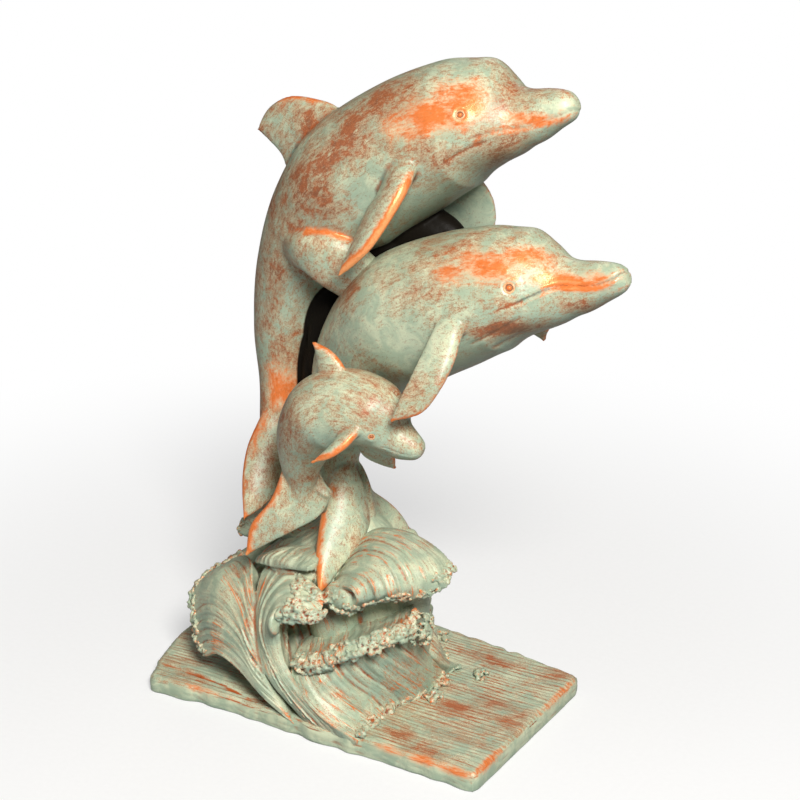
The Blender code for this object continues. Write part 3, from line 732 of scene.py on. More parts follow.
def eyes(name, skin, body, face):
    """The eyes of one dolphin: a rubbed ball in a dark groove and a lid ring on each side of the head."""
    back, angle, size = face["eye"]
    parts, places = [], []
    for sign in (1, -1):
        place, out = eye_place(skin, body, back, angle, sign)
        out = unit(out)
        across = unit(np.cross(out, (0, 0, 1.0)))
        above = np.cross(across, out)
        places.append(place)
        rows = []
        for radius, height in smooth_curve(EYE_PROFILE, 44)[::-1]:
            turn = np.linspace(0, 2 * math.pi, 48, endpoint=False)
            ring = np.cos(turn)[:, None] * across * 1.08 + np.sin(turn)[:, None] * above
            radius = max(radius, 0.02)
            rows.append(place + MM * size * (radius * ring + (height - 0.35) * out))
        parts.append(grid_solid(name, rows))
    made = join(parts, name)
    lids = Skin(made)
    away = np.min([np.linalg.norm(lids.co - place, axis=1) for place in places], axis=0) / (size * MM)
    groove = np.exp(-(((away - 2.15) / 0.55) ** 2))
    lids.paint_age(0.00012, 0.0008, rub=smooth_step(1.9 - away, 0.0, 0.4), dark=groove)
    return made


def rooted(edge, body):
    """A fin's edge carried on inwards from its root, so that the fin grows out of the body."""
    root = np.array(edge[0])
    spine = body.line[np.argmin(np.linalg.norm(body.line - root, axis=1))]
    return [tuple(root + 0.45 * (spine - root))] + edge


# How wide in millimetres and how strongly the leading edge of a fin is rubbed, and how far along.
FIN_RUBS = {
    "upper_dorsal": (4.0, 0.62, 0.6),
    "upper_near_flipper": (3.0, 1.35, 1.0),
    "upper_far_flipper": (2.0, 0.05, 1.0),
    "upper_near_fluke": (3.2, 0.95, 1.0),
    "lower_dorsal": (3.2, 1.2, 0.5),
    "lower_near_flipper": (2.4, 0.45, 1.0),
    "lower_near_fluke": (5.0, 1.3, 1.0),
    "lower_far_fluke": (3.6, 0.95, 1.0),
    "calf_dorsal": (2.4, 0.7, 1.0),
    "calf_near_flipper": (2.6, 1.05, 1.0),
    "calf_far_flipper": (2.0, 0.7, 1.0),
    "calf_near_fluke": (4.2, 1.1, 1.0),
}
OTHER_FIN_RUB = (2.0, 0.5, 1.0)
RUB_INSET = 0.7 * MM

# Where the lower dolphin's dorsal fin runs into the upper dolphin's flank: place and reach, in millimetres,
# and how many times the skin is smoothed there.
DORSAL_JOIN = ((-50, 0, 278), 13, 70)


def fin_rub(skin, fin):
    """How strongly each point is rubbed along the leading edge of a fin."""
    width, strength, finish = FIN_RUBS.get(fin, OTHER_FIN_RUB)
    leading, trailing = (smooth_curve(mm(row), 60) for row in FINS[fin][:2])
    line = leading + RUB_INSET * unit(trailing - leading + 1e-9)
    rub = np.zeros(skin.count)
    for k, p in enumerate(line[8:]):
        d = np.linalg.norm(skin.co - p, axis=1) / (width * MM)
        share = min(k / 12, 1.0) * float(k < finish * 52)
        rub = np.maximum(rub, share * strength * np.exp(-d * d))
    return rub


def pad_shade(skin, pads):
    """Where the skin lies on the pads deep in the nooks, which get near-black painted shade."""
    dark = np.zeros(skin.count)
    for centre, half in pads:
        q = np.linalg.norm((skin.co - centre) / half, axis=1)
        dark = np.maximum(dark, smooth_step(1.28 - q, 0.0, 0.16))
    return dark


def dolphin(body, fins):
    """A dolphin with its fins and flukes in one skin, its face, and what its wear and its painted shade
    follow.
    """
    parts = [body.solid()]
    pads = []
    if body.name == "upper_dolphin":
        pads = [(np.array(centre) * MM, np.array(half) * MM) for centre, half in JOIN_PADS]
        parts += [pad("adults_join", tuple(centre), tuple(half)) for centre, half in pads]
    for fin in fins:
        leading, trailing, thickness = FINS[fin]
        leading, trailing = mm(leading), mm(trailing)
        if fin.endswith("flipper"):
            leading, trailing = rooted(leading, body), rooted(trailing, body)
        parts.append(blade(fin, leading, trailing, MM * thickness))
    made = cast(body.name, parts, VOXELS[body.name], 4)
    skin = Skin(made)
    for fin in fins:
        if fin.endswith("flipper"):
            leading, trailing, thickness = FINS[fin]
            skin.blend((np.array(leading[0]) + np.array(trailing[0])) * MM / 2, 1.1 * thickness * MM, 24)
    if "lower_dorsal" in fins:
        place, reach, passes = DORSAL_JOIN
        skin.blend(np.array(place) * MM, reach * MM, passes)
    face = FACES[body.name]
    s, up, side, band, folds = sculpt_face(skin, body, face)
    rub = np.maximum(0.42 * band * smooth_step(s, 4, 14), skin.marks(RUBS_AND_HIGHLIGHTS[body.name]))
    for fin in fins:
        rub = np.maximum(rub, fin_rub(skin, fin))
    grain = np.stack([s, up, side], axis=1) * MM
    stain = np.maximum(skin.marks(STAINS[body.name]), 0.9 * folds) - skin.marks(CLEAN[body.name])
    # dark: the pads between the adults, for near-black painted shade.
    skin.paint_age(0.00010, 0.0022, grain, rub=rub, stain=stain, dark=pad_shade(skin, pads))
    return made, skin, face


# Water

def waver(x, y, seed, count=7, low=1.0, high=4.0):
    """A soft irregular field between about -1 and 1, the same on every run."""
    random = np.random.default_rng(seed)
    total = 0
    for _ in range(count):
        turn, size = random.uniform(0, 2 * math.pi), random.uniform(low, high)
        total = total + np.sin(size * (x * math.cos(turn) + y * math.sin(turn)) + random.uniform(0, 6.3))
    return total / math.sqrt(count) / 1.2


def shingle(p):
    """Ridges that rise slowly and fall steeply, one for each whole step of p."""
    f = p - np.floor(p)
    return 1.25 * (f ** 1.25) * (1 - smooth_step(f, 0.78, 1.0)) - 0.45


class Water:
    """A tongue of water: a skin through guide lines that run with the flow, fluted along it."""

    def __init__(self, name, guides, thickness, flutes, depth, steps=170, across=190):
        lines = np.array([smooth_curve(guide, steps) for guide in guides])
        skin = np.array([smooth_curve(lines[:, i], across) for i in range(steps)])
        normal = unit(np.cross(np.gradient(skin, axis=0), np.gradient(skin, axis=1)))
        if np.mean(np.sum(normal * (skin - np.array(HEAP_MIDDLE)), axis=2)) < 0:
            normal = -normal
        u = np.linspace(0, 1, steps)[:, None]
        v = np.linspace(0, 1, across)[None, :]
        seed = sum(map(ord, name))
        bend = 0.12 * np.sin(5 * u + 3 * v) + 0.42 * waver(0.8 * u, 2 * v, seed, 5, 2, 5)
        main = shingle(flutes * v + bend * 1.6)
        fine = shingle(flutes * 2.7 * v + 3 * bend + 0.35 * waver(u, 3 * v, seed + 1, 5, 2, 8))
        hair = np.sin(2 * math.pi * (flutes * 7 * v + 6 * bend))
        most = 0.62 + 0.45 * np.clip(waver(0.7 * u, 1.6 * v, seed + 3, 6, 3, 10), -1, 0.9)
        some = 0.5 + 0.5 * waver(u, v, seed + 2, 6, 4, 12)
        lift = depth * (1.45 - 0.7 * u) * (most * main + 0.42 * some * fine + 0.06 * hair)
        edge = (1 - np.abs(2 * v - 1) ** 6) * (1 - np.clip((u - 0.8) / 0.2, 0, 1) ** 3 * 0.75)
        lift = lift * np.clip(edge, 0.2, 1) * smooth_step(u, 0.0, 0.08)
        top = skin + lift[..., None] * normal
        under = skin - (0.0016 + thickness * np.sqrt(np.clip(edge, 0, 1)))[..., None] * normal
        top[..., 2] = np.maximum(top[..., 2], 0.004)
        under[..., 2] = np.maximum(under[..., 2], 0.003)
        self.made = grid_solid(name, [np.concatenate([top[i], under[i][::-1]]) for i in range(steps)])
        self.name, self.skin, self.normal, self.top = name, skin, normal, top
        length = np.mean([np.linalg.norm(np.diff(line, axis=0), axis=1).sum() for line in lines])
        width = np.linalg.norm(np.diff(skin, axis=1), axis=2).sum(axis=1).mean()
        self.flow = np.stack([u * length + 0 * v, v * width + 0 * u, 0 * u * v + seed % 7], axis=2)


# Each tongue: guide lines, thickness, flutes, their depth, and its foam: where the foam starts along
# the flow, smallest and largest bead radius in millimetres, and beads for each square centimetre.
TONGUES = {
    "left_lobe": (LEFT_LOBE, 0.016, 9, 0.0028, (0.93, 0.8, 1.9, 16)),
    "middle_lobe": (MIDDLE_LOBE, 0.014, 8, 0.0023, (0.84, 0.9, 2.5, 15)),
    "upper_lobe": (UPPER_LOBE, 0.014, 6, 0.0018, None),
    "crest": (CREST, 0.016, 7, 0.0018, (0.84, 0.8, 2.2, 15)),
    "right_lobe": (RIGHT_LOBE, 0.013, 8, 0.0026, (0.91, 0.8, 2.0, 16)),
    "lower_curl": (LOWER_CURL, 0.010, 11, 0.0014, (0.66, 0.9, 2.5, 13)),
    "apron": (APRON, 0.020, 10, 0.0021, (0.94, 0.9, 2.4, 12)),
}


def far_side(points, mirror, turn, scale, drop):
    """Points of the near side carried to the far side of the wave."""
    points = np.array(points, float)
    c, s = math.cos(math.radians(turn)), math.sin(math.radians(turn))
    x, y = points[:, 0], points[:, 1] * (-scale if mirror else scale)
    if not mirror:
        x = x * scale
    return np.stack([c * x - s * y, s * x + c * y, points[:, 2] - MM * drop], axis=1)


def tongues(far):
    """The tongues of water on the near or the far side."""
    made = []
    for name, (guides, thickness, flutes, depth, _) in TONGUES.items():
        lines = [np.array(mm(guide)) for guide in guides]
        if far and name not in FAR_SIDE:
            continue
        if far:
            lines = [far_side(line, *FAR_SIDE[name]) for line in lines]
        made.append(Water(name, lines, thickness, flutes, depth))
    return made


def heap():
    """The heap of water inside the tongues, with ridges that wind round it."""
    angles = np.linspace(0, 2 * math.pi, 620, endpoint=False)
    rows = []
    for z, x, y, rx, ry in smooth_curve(np.array(HEAP) * MM, 130):
        turn = HEAP_RIDGES / 2 * angles / math.pi + 12 * z + 0.35 * np.sin(3 * angles + 60 * z)
        ridge = 1 + HEAP_RIDGE * (shingle(turn) + 0.3 * shingle(2.6 * turn + 0.3 * np.sin(5 * angles)))
        ring = [x + rx * ridge * np.cos(angles), y + ry * ridge * np.sin(angles), np.full(len(angles), z)]
        rows.append(np.stack(ring, axis=1))
    return grid_solid("heap", rows)


def bead_tree():
    """A node tree that strews beads of foam over a strip of surface."""
    tree = bpy.data.node_groups.new("Foam beads", "GeometryNodeTree")
    kinds = {
        "Strip": "Geometry", "Least gap": "Float", "Density": "Float", "Smallest radius": "Float",
        "Largest radius": "Float", "Seed": "Int", "Material": "Material",
    }
    for name, kind in kinds.items():
        tree.interface.new_socket(name, in_out="INPUT", socket_type=f"NodeSocket{kind}")
    tree.interface.new_socket("Beads", in_out="OUTPUT", socket_type="NodeSocketGeometry")
    graph = Graph(tree)
    given = graph.add("NodeGroupInput").outputs
    spots = graph.add("GeometryNodeDistributePointsOnFaces", distribute_method="POISSON")
    graph.feed(spots.inputs["Mesh"], given["Strip"])
    graph.feed(spots.inputs["Distance Min"], given["Least gap"])
    graph.feed(spots.inputs["Density Max"], given["Density"])
    graph.feed(spots.inputs["Seed"], given["Seed"])
    bead = graph.add("GeometryNodeMeshIcoSphere", {"Radius": 1.0, "Subdivisions": 3})
    size = graph.add("FunctionNodeRandomValue", data_type="FLOAT")
    graph.feed(size.inputs[2], given["Smallest radius"])
    graph.feed(size.inputs[3], given["Largest radius"])
    graph.feed(size.inputs["Seed"], given["Seed"])
    squash = graph.add(
        "FunctionNodeRandomValue", {0: (0.75, 0.75, 0.75), 1: (1.2, 1.2, 1.2)}, data_type="FLOAT_VECTOR")
    scale = graph.add("ShaderNodeVectorMath", operation="SCALE")
    graph.feed(scale.inputs[0], squash.outputs[0])
    graph.feed(scale.inputs["Scale"], size.outputs[1])
    place = graph.add("GeometryNodeInstanceOnPoints", {
        "Points": spots.outputs["Points"], "Instance": bead.outputs["Mesh"],
        "Rotation": spots.outputs["Rotation"], "Scale": scale.outputs[0]})
    real = graph.add("GeometryNodeRealizeInstances", {"Geometry": place.outputs["Instances"]})
    paint = graph.add("GeometryNodeSetMaterial", {"Geometry": real.outputs["Geometry"]})
    graph.feed(paint.inputs["Material"], given["Material"])
    graph.add("NodeGroupOutput", {"Beads": paint.outputs["Geometry"]})
    return tree


def grid_quads(index):
    """The four-sided faces between the rows of a grid of point numbers."""
    return np.stack([index[:-1, :-1], index[1:, :-1], index[1:, 1:], index[:-1, 1:]], axis=2).reshape(-1, 4)


def plain_mesh(name, verts, faces):
    """Mesh data from points and faces."""
    data = bpy.data.meshes.new(name)
    data.from_pydata([tuple(p) for p in verts], [], faces)
    return data


def strip(name, grid):
    """An open surface through a grid of points."""
    steps, across = grid.shape[:2]
    quads = grid_quads(np.arange(steps * across).reshape(steps, across))
    return placed(name, plain_mesh(name, grid.reshape(-1, 3), quads.tolist()))


def strew(made, tree, material, small, large, density, seed):
    """Turns a strip of surface into the beads of foam strewn over it."""
    modifier = made.modifiers.new("Beads", "NODES")
    modifier.node_group = tree
    wanted = {
        "Least gap": 0.95 * small * MM, "Density": density * 1e4, "Smallest radius": small * MM,
        "Largest radius": large * MM, "Seed": seed, "Material": material,
    }
    for item in tree.interface.items_tree:
        if item.in_out == "INPUT" and item.name in wanted:
            modifier[item.identifier] = wanted[item.name]
    freeze(made)
    return made


def foam(water, tree, material):
    """The beads of foam along the lip of a tongue of water."""
    start, small, large, density = TONGUES[water.name][4]
    steps, across = water.skin.shape[:2]
    v = np.linspace(0, 1, across)
    seed = sum(map(ord, water.name))
    ragged = start + 0.35 * (1 - start) * waver(6 * v, 0 * v, seed, 5, 1, 5)
    rows = []
    for k in np.linspace(0, 1, 26):
        at = np.clip(ragged + (1 - ragged) * k, 0, 1) * (steps - 1)
        low = np.minimum(at.astype(int), steps - 2)
        part = (at - low)[:, None]
        column = np.arange(across)
        rows.append((1 - part) * water.top[low, column] + part * water.top[low + 1, column])
    lip, back = rows[-1], rows[-4]
    ahead = unit(lip - back)
    for k in (1, 2, 3):
        rows.append(lip + MM * (0.5 * k * ahead - 0.9 * k * water.normal[-1]))
    return strew(strip(f"{water.name}_foam", np.array(rows)), tree, material, small, large, density, seed)


# Lines of foam that the wave leaves on the base, in millimetres.
CRESTS = [
    [(22, 60), (27, 48), (31, 38), (40, 28), (45, 20)],
    [(57, 27), (53, 18), (53, 8), (55, -4), (58, -14), (51, -15), (44, -12), (39, -19), (38, -32), (41, -44),
     (39, -56), (40, -66), (43, -74)],
    [(66, 23), (70, 25), (74, 23)],
]

# Heaps of foam where the lobes end, each an ellipsoid given by its centre and half sizes.
FOAM_HEAPS = [[(19, -50, 85), (12, 8.5, 8)], [(58, -30, 66), (6, 9, 10)]]


def crest_foam(tree, material):
    """The crests of foam on the base, heaped up along their lines."""
    made = []
    for k, crest in enumerate(CRESTS):
        line = smooth_curve(np.array(crest) * MM, 24 * len(crest))
        way = unit(np.gradient(line, axis=0))
        t = np.linspace(0, 1, len(line))
        wide = 0.0036 + 0.0012 * waver(20 * t, 0 * t, 31 + k, 5, 1, 3)
        rows = []
        for across in np.linspace(-1, 1, 9):
            place = line + (across * wide)[:, None] * np.stack([way[:, 1], -way[:, 0]], axis=1)
            height = PLATE_THICKNESS + 0.7 * wide * math.cos(1.4 * across) - 0.0006
            rows.append(np.concatenate([place, height[:, None]], axis=1))
        made.append(strew(strip("crest_foam", np.array(rows)), tree, material, 0.8, 2.4, 12, 40 + k))
    for k, (centre, half) in enumerate(FOAM_HEAPS):
        made.append(strew(pad("foam_heap", *mm((centre, half))), tree, material, 0.7, 2.0, 14, 60 + k))
    return made


def roughen(skin, size, depth):
    """Makes the beads craggy, like curdled foam."""
    coarse = np.array([noise.noise(Vector(p) / size) for p in skin.co])
    fine = np.array([noise.noise(Vector(p) / (0.4 * size)) for p in skin.co])
    skin.move(depth * (coarse + 0.5 * fine))


# How much copper the edges of a tongue of water show, where that isn't 1, and on the far side.
TONGUE_WEAR = {"upper_lobe": 0.25, "crest": 0.5}
FAR_WEAR = 0.25

# Where shade is painted on the wave, near black: place and radii in millimetres, and how strongly.
WATER_SHADE = [
    ((24, -31, 81), (26, 10, 5), 1.1), ((4, -42, 68), (8, 8, 12), 0.7), ((-22, -42, 92), (16, 8, 5), 0.5),
]


def paint_water(made, waters, far):
    """Paints a piece of the wave with the flow of the tongue that lies nearest to each point."""
    skin = Skin(made)
    tree = KDTree(sum(w.skin.shape[0] * w.skin.shape[1] for w in waters))
    flows, wear, k = [], [], 0
    for water in waters:
        flows.append(water.flow.reshape(-1, 3))
        wear += [FAR_WEAR if far else TONGUE_WEAR.get(water.name, 1.0)] * len(flows[-1])
        for p in water.top.reshape(-1, 3):
            tree.insert(p, k)
            k += 1
    tree.balance()
    nearest = np.array([tree.find(p)[1] for p in skin.co])
    grain = skin.spread(np.concatenate(flows)[nearest], 2)
    # dark carries the painted shade of WATER_SHADE.
    skin.paint_age(0.00012, 0.0012, grain, np.array(wear)[nearest], dark=skin.marks(WATER_SHADE))


# The pieces of the near side: their tongues, and pads that fill the nooks between the tongues.
NEAR_PIECES = {
    "left_wave": (("left_lobe", "middle_lobe", "upper_lobe"), [[(-18, -32, 88), (25, 15, 9)]]),
    "right_wave": (("right_lobe", "crest", "lower_curl", "apron"), [[(19, -49, 86.5), (13, 9, 9)]]),
    "wave_heap": ((), [[(20, -6, 62), (27, 26, 36)], [(2, -34, 60), (16, 13, 25)]]),
}


# Base

# How many points the base's grid has along and across, and how far it lies inside the outline,
# in millimetres.
BASE_ALONG = 260
BASE_ACROSS = 250
BASE_INSET = 1.7

# How far the corners are cut and the rim falls, and over what reach.
CORNER_CUT, CORNER_REACH = 0.0019, 0.0035
RIM_FALL, RIM_REACH = 0.0019, 1.5 * MM

# The grooves of the grain, large and fine: pitch and depth in millimetres.
LARGE_GROOVE = (3.4, 0.46)
FINE_GROOVE = (1.45, 0.20)

# The step down at the front left, and the levels of the sides as shares of the height.
STEP_DROP = 0.0016
SIDE_LEVELS = [0.96, 0.88, 0.78, 0.68, 0.58, 0.48, 0.38, 0.28, 0.18, 0.10, 0.04, 0.0]


# Where the base is rubbed bright along its rim, and where rust lies on it.
BASE_RUBS = [
    ((62, -76, 11), (14, 5, 4), 0.9), ((84, -76, 11), (12, 5, 4), 1.0), ((106, -77, 11), (14, 5, 4), 1.0),
    ((119, -60, 11), (4, 20, 4), 0.8), ((120, 30, 11), (4, 24, 4), 0.6), ((-70, -70, 10), (24, 4, 4), 0.5),
]
BASE_STAINS = [
    ((73, -16, 12), (11, 6, 5), 1.3), ((61, -59, 12), (13, 7, 5), 0.9), ((85, -68, 12), (16, 9, 5), 0.8),
    ((90, 2, 12), (22, 6, 5), 0.6), ((70, 47, 12), (26, 8, 5), 0.7), ((111, 50, 12), (14, 12, 5), 0.8),
    ((112, -20, 12), (12, 14, 5), 0.8), ((-98, -52, 12), (16, 8, 5), 0.5), ((104, -46, 12), (18, 8, 5), 0.4),
]


def side_curve(points, count, seed):
    """One side of the base, softly uneven."""
    line = smooth_curve(points, count)
    t = np.linspace(0, 1, count)
    uneven = 0.0009 * waver(40 * t, 0 * t, seed) * np.sin(math.pi * t) ** 0.3
    return line + uneven[:, None] * np.array([0, 1.0])


def base_grid(s, t):
    """The places of the base's grid, seen from above."""
    corners = np.array(PLATE_OUTLINE, float)
    corners = (corners - BASE_INSET * unit(corners)) * MM
    front = side_curve(corners[:5], BASE_ALONG, 3)
    rear = side_curve(corners[5:10][::-1], BASE_ALONG, 4)
    left = side_curve(np.concatenate([corners[:1], corners[:9:-1], corners[9:10]]), BASE_ACROSS, 5)
    right = side_curve(corners[4:6], BASE_ACROSS, 6)
    flat = (1 - t) * front[:, None] + t * rear[:, None] + (1 - s) * left[None] + s * right[None]
    flat = flat - (
        (1 - s) * (1 - t) * front[0] + s * (1 - t) * front[-1] + (1 - s) * t * rear[0] + s * t * rear[-1])
    for corner in (flat[0, 0], flat[-1, 0], flat[0, -1], flat[-1, -1]):
        away = np.linalg.norm(flat - corner, axis=2, keepdims=True)
        flat = flat - CORNER_CUT * unit(corner) * np.exp(-((away / CORNER_REACH) ** 2))
    return flat


def base_height(x, y, s, t):
    """The height of the base's top: its grain, its rounded rim and the step at the front left."""
    sway = 2.4 * waver(x / 50, y / 50, 11, 6, 1, 3)
    across = y + sway + 0.03 * x
    broken = 0.55 + 0.45 * waver(x / 30, y / 7, 12, 8, 1, 4)
    pitch, depth = LARGE_GROOVE
    wander = 0.40 * waver(x / 40, y / 9, 13, 6, 1, 4)
    groove = depth * shingle(across / pitch + wander) * (0.55 + 0.45 * broken)
    pitch, depth = FINE_GROOVE
    wander = 0.4 * waver(x / 40, y / 6, 14, 6, 1, 4)
    groove += depth * shingle(across / pitch + wander) * np.clip(broken, 0, 1)
    rolling = 0.5 * waver(x / 40, y / 18, 15, 6, 1, 3)
    height = PLATE_THICKNESS + MM * (groove + rolling - 0.4)
    rim_gap = np.minimum(np.minimum(s, 1 - s) * 0.240, np.minimum(t, 1 - t) * 0.125)[..., 0]
    height = height - RIM_FALL * np.exp(-((rim_gap / RIM_REACH) ** 2))
    step = smooth_step(y + 61 + 0.10 * (x + 60) - 1.5 * waver(x / 20, 0 * x, 17), -1.2, 1.2)
    return height - STEP_DROP * (1 - step) * smooth_step(-x, 20, 40)


def base():
    """The plank of calm water: a grained top, a rounded rim and rough upright sides."""
    s = np.linspace(0, 1, BASE_ALONG)[:, None, None]
    t = np.linspace(0, 1, BASE_ACROSS)[None, :, None]
    flat = base_grid(s, t)
    height = base_height(flat[..., 0] / MM, flat[..., 1] / MM, s, t)
    top = np.concatenate([flat, height[..., None]], axis=2)
    i, j = BASE_ALONG, BASE_ACROSS
    loop = [(a, 0) for a in range(i)] + [(i - 1, b) for b in range(1, j)]
    loop += [(a, j - 1) for a in range(i - 2, -1, -1)] + [(0, b) for b in range(j - 2, 0, -1)]
    loop = np.array(loop)
    rim = top[loop[:, 0], loop[:, 1]]
    way = np.roll(rim, -1, axis=0) - np.roll(rim, 1, axis=0)
    out = unit(np.stack([way[:, 1], -way[:, 0], 0 * way[:, 0]], axis=1))
    for _ in range(6):
        out = unit(np.roll(out, 1, axis=0) + out + np.roll(out, -1, axis=0))
    along = np.concatenate([[0], np.cumsum(np.linalg.norm(np.diff(rim, axis=0), axis=1))]) / MM
    verts = [top.reshape(-1, 3)]
    for level in SIDE_LEVELS:
        bulge = 0.9 * math.sqrt(1 - abs(2 * level - 1) ** 2.6) - 0.45
        rough = 0.14 * waver(along / 7, np.full(len(along), 9 * level), 21, 8, 1, 4)
        ring = rim + MM * (bulge + rough)[:, None] * out if level else rim - MM * 0.5 * out
        ring[:, 2] = level * rim[:, 2]
        verts.append(ring)
    index = np.arange(i * j).reshape(i, j)
    faces = grid_quads(index).tolist()
    upper = index[loop[:, 0], loop[:, 1]]
    for k in range(len(SIDE_LEVELS)):
        lower = i * j + k * len(loop) + np.arange(len(loop))
        faces += np.stack([upper, lower, np.roll(lower, -1), np.roll(upper, -1)], axis=1).tolist()
        upper = lower
    faces.append(upper[::-1].tolist())
    mesh = bmesh.new()
    mesh.from_mesh(plain_mesh("base", np.concatenate(verts), faces))
    bmesh.ops.recalc_face_normals(mesh, faces=mesh.faces)
    made = as_object("base", mesh)
    skin = Skin(made)
    upright = 1 - smooth_step(skin.normal[:, 2], 0.2, 0.6)
    stain = skin.marks(BASE_STAINS) - 2.0 * upright
    skin.paint_age(0.00008, 0.0008, None, 0.35 * (1 - upright), rub=skin.marks(BASE_RUBS), stain=stain)
    return made


# Finish

def colour(red, green, blue):
    """A colour from the photo's 0 to 255 scale, as light."""
    def light(value):
        value /= 255
        return value / 12.92 if value <= 0.04045 else ((value + 0.055) / 1.055) ** 2.4
    return (light(red), light(green), light(blue), 1.0)


SAGE = colour(166, 182, 156)
CREAM = colour(208, 214, 182)
TEAL = colour(140, 172, 160)
DEEP_TEAL = colour(84, 112, 102)
FILM = colour(178, 138, 94)
RUST = colour(180, 92, 42)
DARK_RUST = colour(122, 62, 34)
COPPER = colour(240, 122, 48)
BRIGHT_COPPER = colour(255, 168, 104)
PEACH = colour(240, 188, 142)
# Dark olive for the painted shade on faces that look down.
UNDERSIDE_SHADE = colour(86, 84, 62)
# Near black: painted shade on the pads and in the wave's shaded places, and the deepest pits.
SHADE = colour(22, 19, 15)


class Paint(Graph):
    """A material's node graph, written as sums."""

    def __init__(self, name):
        self.material = bpy.data.materials.new(name)
        self.material.use_nodes = True
        super().__init__(self.material.node_tree)

    def sum(self, operation, a, b=0.0):
        """Two values put together by an operation of Blender's Math node."""
        return self.add("ShaderNodeMath", {0: a, 1: b}, operation=operation).outputs[0]

    def total(self, value, *terms):
        """A value plus others, each times its share."""
        for other, share in terms:
            node = self.add("ShaderNodeMath", {0: other, 1: share, 2: value}, operation="MULTIPLY_ADD")
            value = node.outputs[0]
        return value

    def step(self, value, low, high, bottom=0.0, top=1.0):
        """Goes softly from bottom to top as a value goes from low to high."""
        limits = {0: value, 1: low, 2: high, 3: bottom, 4: top}
        return self.add("ShaderNodeMapRange", limits, interpolation_type="SMOOTHSTEP").outputs[0]

    def noise(self, place, scale, detail=4.0, roughness=0.6, distortion=0.0):
        """Cloudy noise between about 0 and 1."""
        inputs = {"Scale": scale, "Detail": detail, "Roughness": roughness, "Distortion": distortion}
        return self.add("ShaderNodeTexNoise", {"Vector": place, **inputs}).outputs["Fac"]

    def stretch(self, place, scale):
        """A place with each of its directions scaled."""
        return self.add("ShaderNodeVectorMath", {0: place, 1: scale}, operation="MULTIPLY").outputs[0]

    def mix(self, share, a, b):
        """Colour a, with a share of colour b."""
        inputs = {"Factor": share, 6: a, 7: b}
        return self.add("ShaderNodeMix", inputs, data_type="RGBA", clamp_factor=True).outputs[2]

    def reading(self, name, vector=False):
        """What is painted on the skin under a name."""
        return self.add("ShaderNodeAttribute", attribute_name=name).outputs["Vector" if vector else "Fac"]

    def surface(self, shader):
        """Ends the graph with its shader and gives back the material."""
        self.add("ShaderNodeOutputMaterial", {"Surface": shader.outputs[0]})
        return self.material


